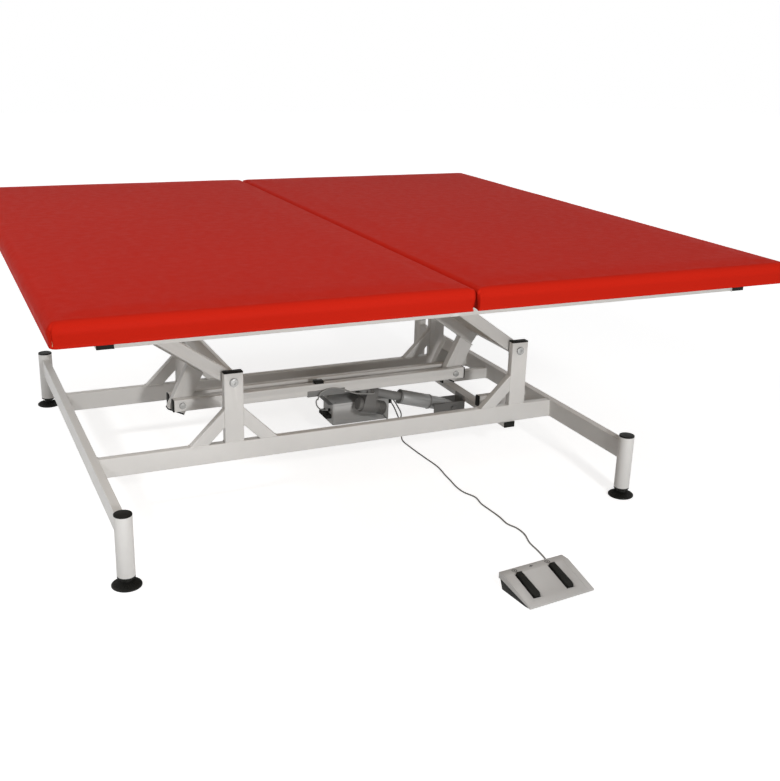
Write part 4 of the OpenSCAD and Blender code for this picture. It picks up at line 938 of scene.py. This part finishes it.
def roundedSpot(x, y, z, shape, inner):
    hx, hy, h = shape["length"] / 2, shape["width"] / 2, shape["height"]
    atDivide = x * inner > 0
    r, e = shape["innerCorner" if atDivide else "corner"], shape["edge"]
    out = Vector((0, 0))
    ax, ay = abs(x) - (hx - r), abs(y) - (hy - r)
    sx, sy = math.copysign(1, x), math.copysign(1, y)
    if ax > 0 and ay > 0:
        dx, dy = squareToDisc(ax / r, ay / r)
        inset = r * (1 - math.hypot(dx, dy))
        x, y = sx * (hx - r + r * dx), sy * (hy - r + r * dy)
        share = dx / (dx + dy) if dx or dy else 0.5
        if dx or dy:
            out = Vector((sx * dx, sy * dy)).normalized()
    else:
        inset = min(hx - abs(x), hy - abs(y))
        out = Vector((sx, 0)) if hx - abs(x) < hy - abs(y) else Vector((0, sy))
        share = (hy - abs(y)) / max(0.001, hx - abs(x) + hy - abs(y))
    if atDivide:
        # the edge is tighter along the divide
        e -= (e - shape["innerEdge"]) * share ** 2
    if inset < e and h - z < e:
        da, db = squareToDisc((e - inset) / e, (e - h + z) / e)
        moved = inset - e * (1 - da)
        x, y, z = x + out.x * moved, y + out.y * moved, h - e * (1 - db)
        inset = e * (1 - da)
    if inset < shape["sideDeep"]:
        pull = drawnIn(shape, z) * (1 - inset / shape["sideDeep"])
        x, y = x - out.x * pull, y - out.y * pull
    clearX, clearY = shape["droopClear"]
    if z < 0.01 and inset > shape["lip"]:
        z = shape["recess"]
    elif z < shape["droopHigh"] and (x * inner < hx - clearX or abs(y) > hy - clearY):
        # the cover bulges a little below its board, clear of the frame
        z -= shape["droop"] * (1 - z / shape["droopHigh"]) ** 2
    if z > h * 0.5:
        z += shape["crown"] * (1 - (x / hx) ** 4) * (1 - (y / hy) ** 6) - shape["crown"]
    return x, y, z


def swell(pad, shape):
    # cloth under a light inner pressure, held at the board, then capped
    rest = [v.co.copy() for v in pad.data.vertices]
    inX, inY = shape["length"] / 2 - shape["sideDeep"], shape["width"] / 2 - shape["sideDeep"]
    held = pad.vertex_groups.new(name="held")
    held.add([i for i, co in enumerate(rest) if co.z < 1.5 or abs(co.z - shape["recess"]) < 0.2
              and abs(co.x) < inX and abs(co.y) < inY], 1.0, "REPLACE")
    pad.data.transform(Matrix.Scale(mm, 4))
    cloth = pad.modifiers.new("swell", "CLOTH")
    settings, steps = cloth.settings, clothShape["steps"]
    settings.quality, settings.mass = clothShape["quality"], clothShape["mass"]
    settings.tension_stiffness = settings.compression_stiffness = clothShape["stretch"]
    settings.bending_stiffness = clothShape["bending"]
    settings.vertex_group_mass = "held"
    settings.use_pressure = True
    settings.uniform_pressure_force = clothShape["pressure"]
    settings.effector_weights.gravity = 0
    cloth.collision_settings.use_collision = False
    cloth.point_cache.frame_start, cloth.point_cache.frame_end = 1, steps
    for step in range(1, steps + 1):
        bpy.context.scene.frame_set(step)
    grown = pad.evaluated_get(bpy.context.evaluated_depsgraph_get())
    moved = [v.co / mm for v in grown.data.vertices]
    rest = [a + (b - a) * min(1, clothShape["cap"] / max((b - a).length, 0.0001)) * clothShape["share"]
            for a, b in zip(rest, moved)]
    bpy.context.scene.frame_set(1)
    pad.modifiers.clear()
    pad.vertex_groups.clear()
    return rest


def wrinkled(co, shape, x0):
    # slow unevenness of the hand-stretched cover and pinched folds where it turns each corner
    x, y, z = co
    hx, hy = shape["length"] / 2, shape["width"] / 2
    edge = min(hx - abs(x), hy - abs(y))
    w = wrinkles
    slow = noise.noise(Vector((x * w["slow"] + x0, y * w["slow"], w["layer"])))
    quick = noise.noise(Vector((x * w["quick"] + x0, y * w["quick"], z * w["quickUp"])))
    if z > w["sideAbove"] and edge < w["sideDeep"]:
        push = w["sideUneven"] * quick + w["sideUneven"] * slow - w["sideIn"]
        if abs(x) > abs(y) * hx / hy:
            x += math.copysign(push, x)
        else:
            y += math.copysign(push, y)
    if z > w["topAbove"]:
        z += w["topUneven"] * slow + w["rimUneven" if edge < w["rimWide"] else "flatUneven"] * quick
    near = math.hypot(hx - abs(x), hy - abs(y))
    if near < w["foldReach"] and z > 2:
        off = (math.atan2(hy - abs(y), hx - abs(x)) - math.pi / 4) / w["foldWidth"]
        fold = w["foldDeep"] * math.exp(-off ** 2) * (1 - near / w["foldReach"])
        x -= math.copysign(fold, x)
        y -= math.copysign(fold, y)
    # kept within the pad's own outline and height
    return max(-hx, min(hx, x)), max(-hy, min(hy, y)), max(min(z, shape["height"] + 0.6), -3.2)


def upholster(name, node, x0, inner):
    shape = padShape
    verts, faces = paddedBox(shape, inner)
    mesh = bpy.data.meshes.new(name)
    mesh.from_pydata(verts, [], faces)
    pad = bpy.data.objects.new(name, mesh)
    bpy.context.collection.objects.link(pad)
    middle = x0 + shape["length"] / 2
    for v, co in zip(mesh.vertices, swell(pad, shape)):
        x, y, z = wrinkled(co, shape, x0)
        v.co = Vector((middle + x, y, shape["low"] + z)) * mm
    mesh.materials.append(looks["red_vinyl"])
    finer = pad.modifiers.new("finer", "SUBSURF")
    finer.levels = finer.render_levels = 1
    done = bpy.data.meshes.new_from_object(pad.evaluated_get(bpy.context.evaluated_depsgraph_get()))
    pad.modifiers.clear()
    pad.data = done
    done.polygons.foreach_set("use_smooth", [True] * len(done.polygons))
    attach(pad, "top_frame")
    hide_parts(node)
    print(name, "upholstered,", len(done.polygons), "faces")


def sewSeams(name, x0, inner):
    # a sewn seam down each corner of the cover, with its stitches on either side
    shape, count, half = padShape, seamShape["stitches"], Vector((0, 0, seamShape["stitchHalf"])) * mm
    hx, hy = shape["length"] / 2, shape["width"] / 2
    bm = bmesh.new()
    for sx in (-1, 1):
        for sy in (-1, 1):
            corner = shape["innerCorner" if sx == inner else "corner"]
            line = []
            for z in seamShape["heights"]:
                reach = corner * (1 - math.sqrt(0.5)) + drawnIn(shape, z) * 0.9 + 1.9
                line.append(Vector((x0 + hx + sx * (hx - reach), sy * (hy - reach), shape["low"] + z)) * mm)
            tubeRings(bm, line, seamShape["radius"] * mm, 8)
            along = Vector((sx, -sy, 0)).normalized() * seamShape["apart"] * mm
            proud = Vector((sx, sy, 0)) * seamShape["proud"] * mm
            for t in range(count):
                for way in (-1, 1):
                    spot = line[0].lerp(line[-1], (t + 0.5) / count) + along * way + proud
                    tubeRings(bm, [spot - half, spot + half], seamShape["thread"] * mm, 6)
    newPiece(name, bm, "red_vinyl", "top_frame", (), 60)


for side, x0, inner in (("left", -963.0, 1), ("right", 67.5, -1)):
    upholster(side + "PadCover", side + "_pad", x0, inner)
    sewSeams(side + "PadSeams", x0, inner)


# plain pale floor and soft studio light, with a white surround for the camera and for reflections;
# each lamp: name, place, aim, size, power
stageLight = {"world": 0.20, "floorGlow": (2.2, 6.0, 0.765, 0.89), "floor": 0.62,
              "lamps": [("front", (0.15, -6.0, 1.62), (0, -0.5, 0.4), 0.45, 105),
                        ("high", (0.3, -5.6, 3.1), (0, -0.5, 0.3), 0.6, 74),
                        ("left", (-4.8, -1.4, 4.5), (-0.6, -0.3, 0.4), 1.0, 116),
                        ("above", (0, 0, 4.6), (0, 0, 0), 3.0, 15)]}


def seenDirect(builder):
    # 1 for rays that should meet white: the camera's, reflections and what shines through
    camera, glossy, shining = (builder.add("ShaderNodeLightPath", output=name)
                               for name in ("Is Camera Ray", "Is Glossy Ray", "Is Transmission Ray"))
    capped = {"operation": "ADD", "use_clamp": True}
    either = builder.add("ShaderNodeMath", capped, {0: camera, 1: glossy})
    return builder.add("ShaderNodeMath", capped, {0: either, 1: shining})


def makeStage():
    world = bpy.data.worlds.new("studio")
    bpy.context.scene.world = world
    world.use_nodes = True
    around = Builder(world.node_tree)
    back = around.tree.nodes["Background"].inputs
    back["Color"].default_value = (1, 1, 1, 1)
    strength = {"Factor": seenDirect(around), "A": stageLight["world"], "B": 1.0}
    around.feed(back["Strength"], around.add("ShaderNodeMix", {}, strength))

    bm = bmesh.new()
    bmesh.ops.create_grid(bm, x_segments=1, y_segments=1, size=14)
    mesh = bpy.data.meshes.new("floor")
    bm.to_mesh(mesh)
    bm.free()
    floor = bpy.data.objects.new("floor", mesh)
    floor.location.z = -0.0004
    bpy.context.collection.objects.link(floor)
    look = Finish("paleFloor")
    pale = stageLight["floor"]
    look.set(Base_Color=(pale, pale, pale, 1), Roughness=0.8, Specular_IOR_Level=0.1)
    # the glow that the camera sees rises slowly with the distance, so that the floor has no horizon
    distance = look.add("ShaderNodeVectorMath", {"operation": "LENGTH"}, {0: look.place}, output="Value")
    glow = look.add("ShaderNodeEmission", {}, {"Color": look.ramp(distance, *stageLight["floorGlow"]),
                                               "Strength": seenDirect(look)})
    both = look.add("ShaderNodeAddShader", {}, {0: Wire(look, look.shader.outputs[0]), 1: glow})
    look.feed(look.tree.nodes["Material Output"].inputs["Surface"], both)
    mesh.materials.append(look.material)

    for name, spot, aim, size, power in stageLight["lamps"]:
        data = bpy.data.lights.new(name, "AREA")
        data.shape, data.size, data.energy = "DISK", size, power
        lamp = bpy.data.objects.new(name, data)
        lamp.location = spot
        lamp.rotation_euler = (Vector(aim) - Vector(spot)).to_track_quat("-Z", "Y").to_euler()
        bpy.context.collection.objects.link(lamp)
    bpy.context.scene.view_settings.view_transform = "Standard"
    print("stage lit")


makeStage()
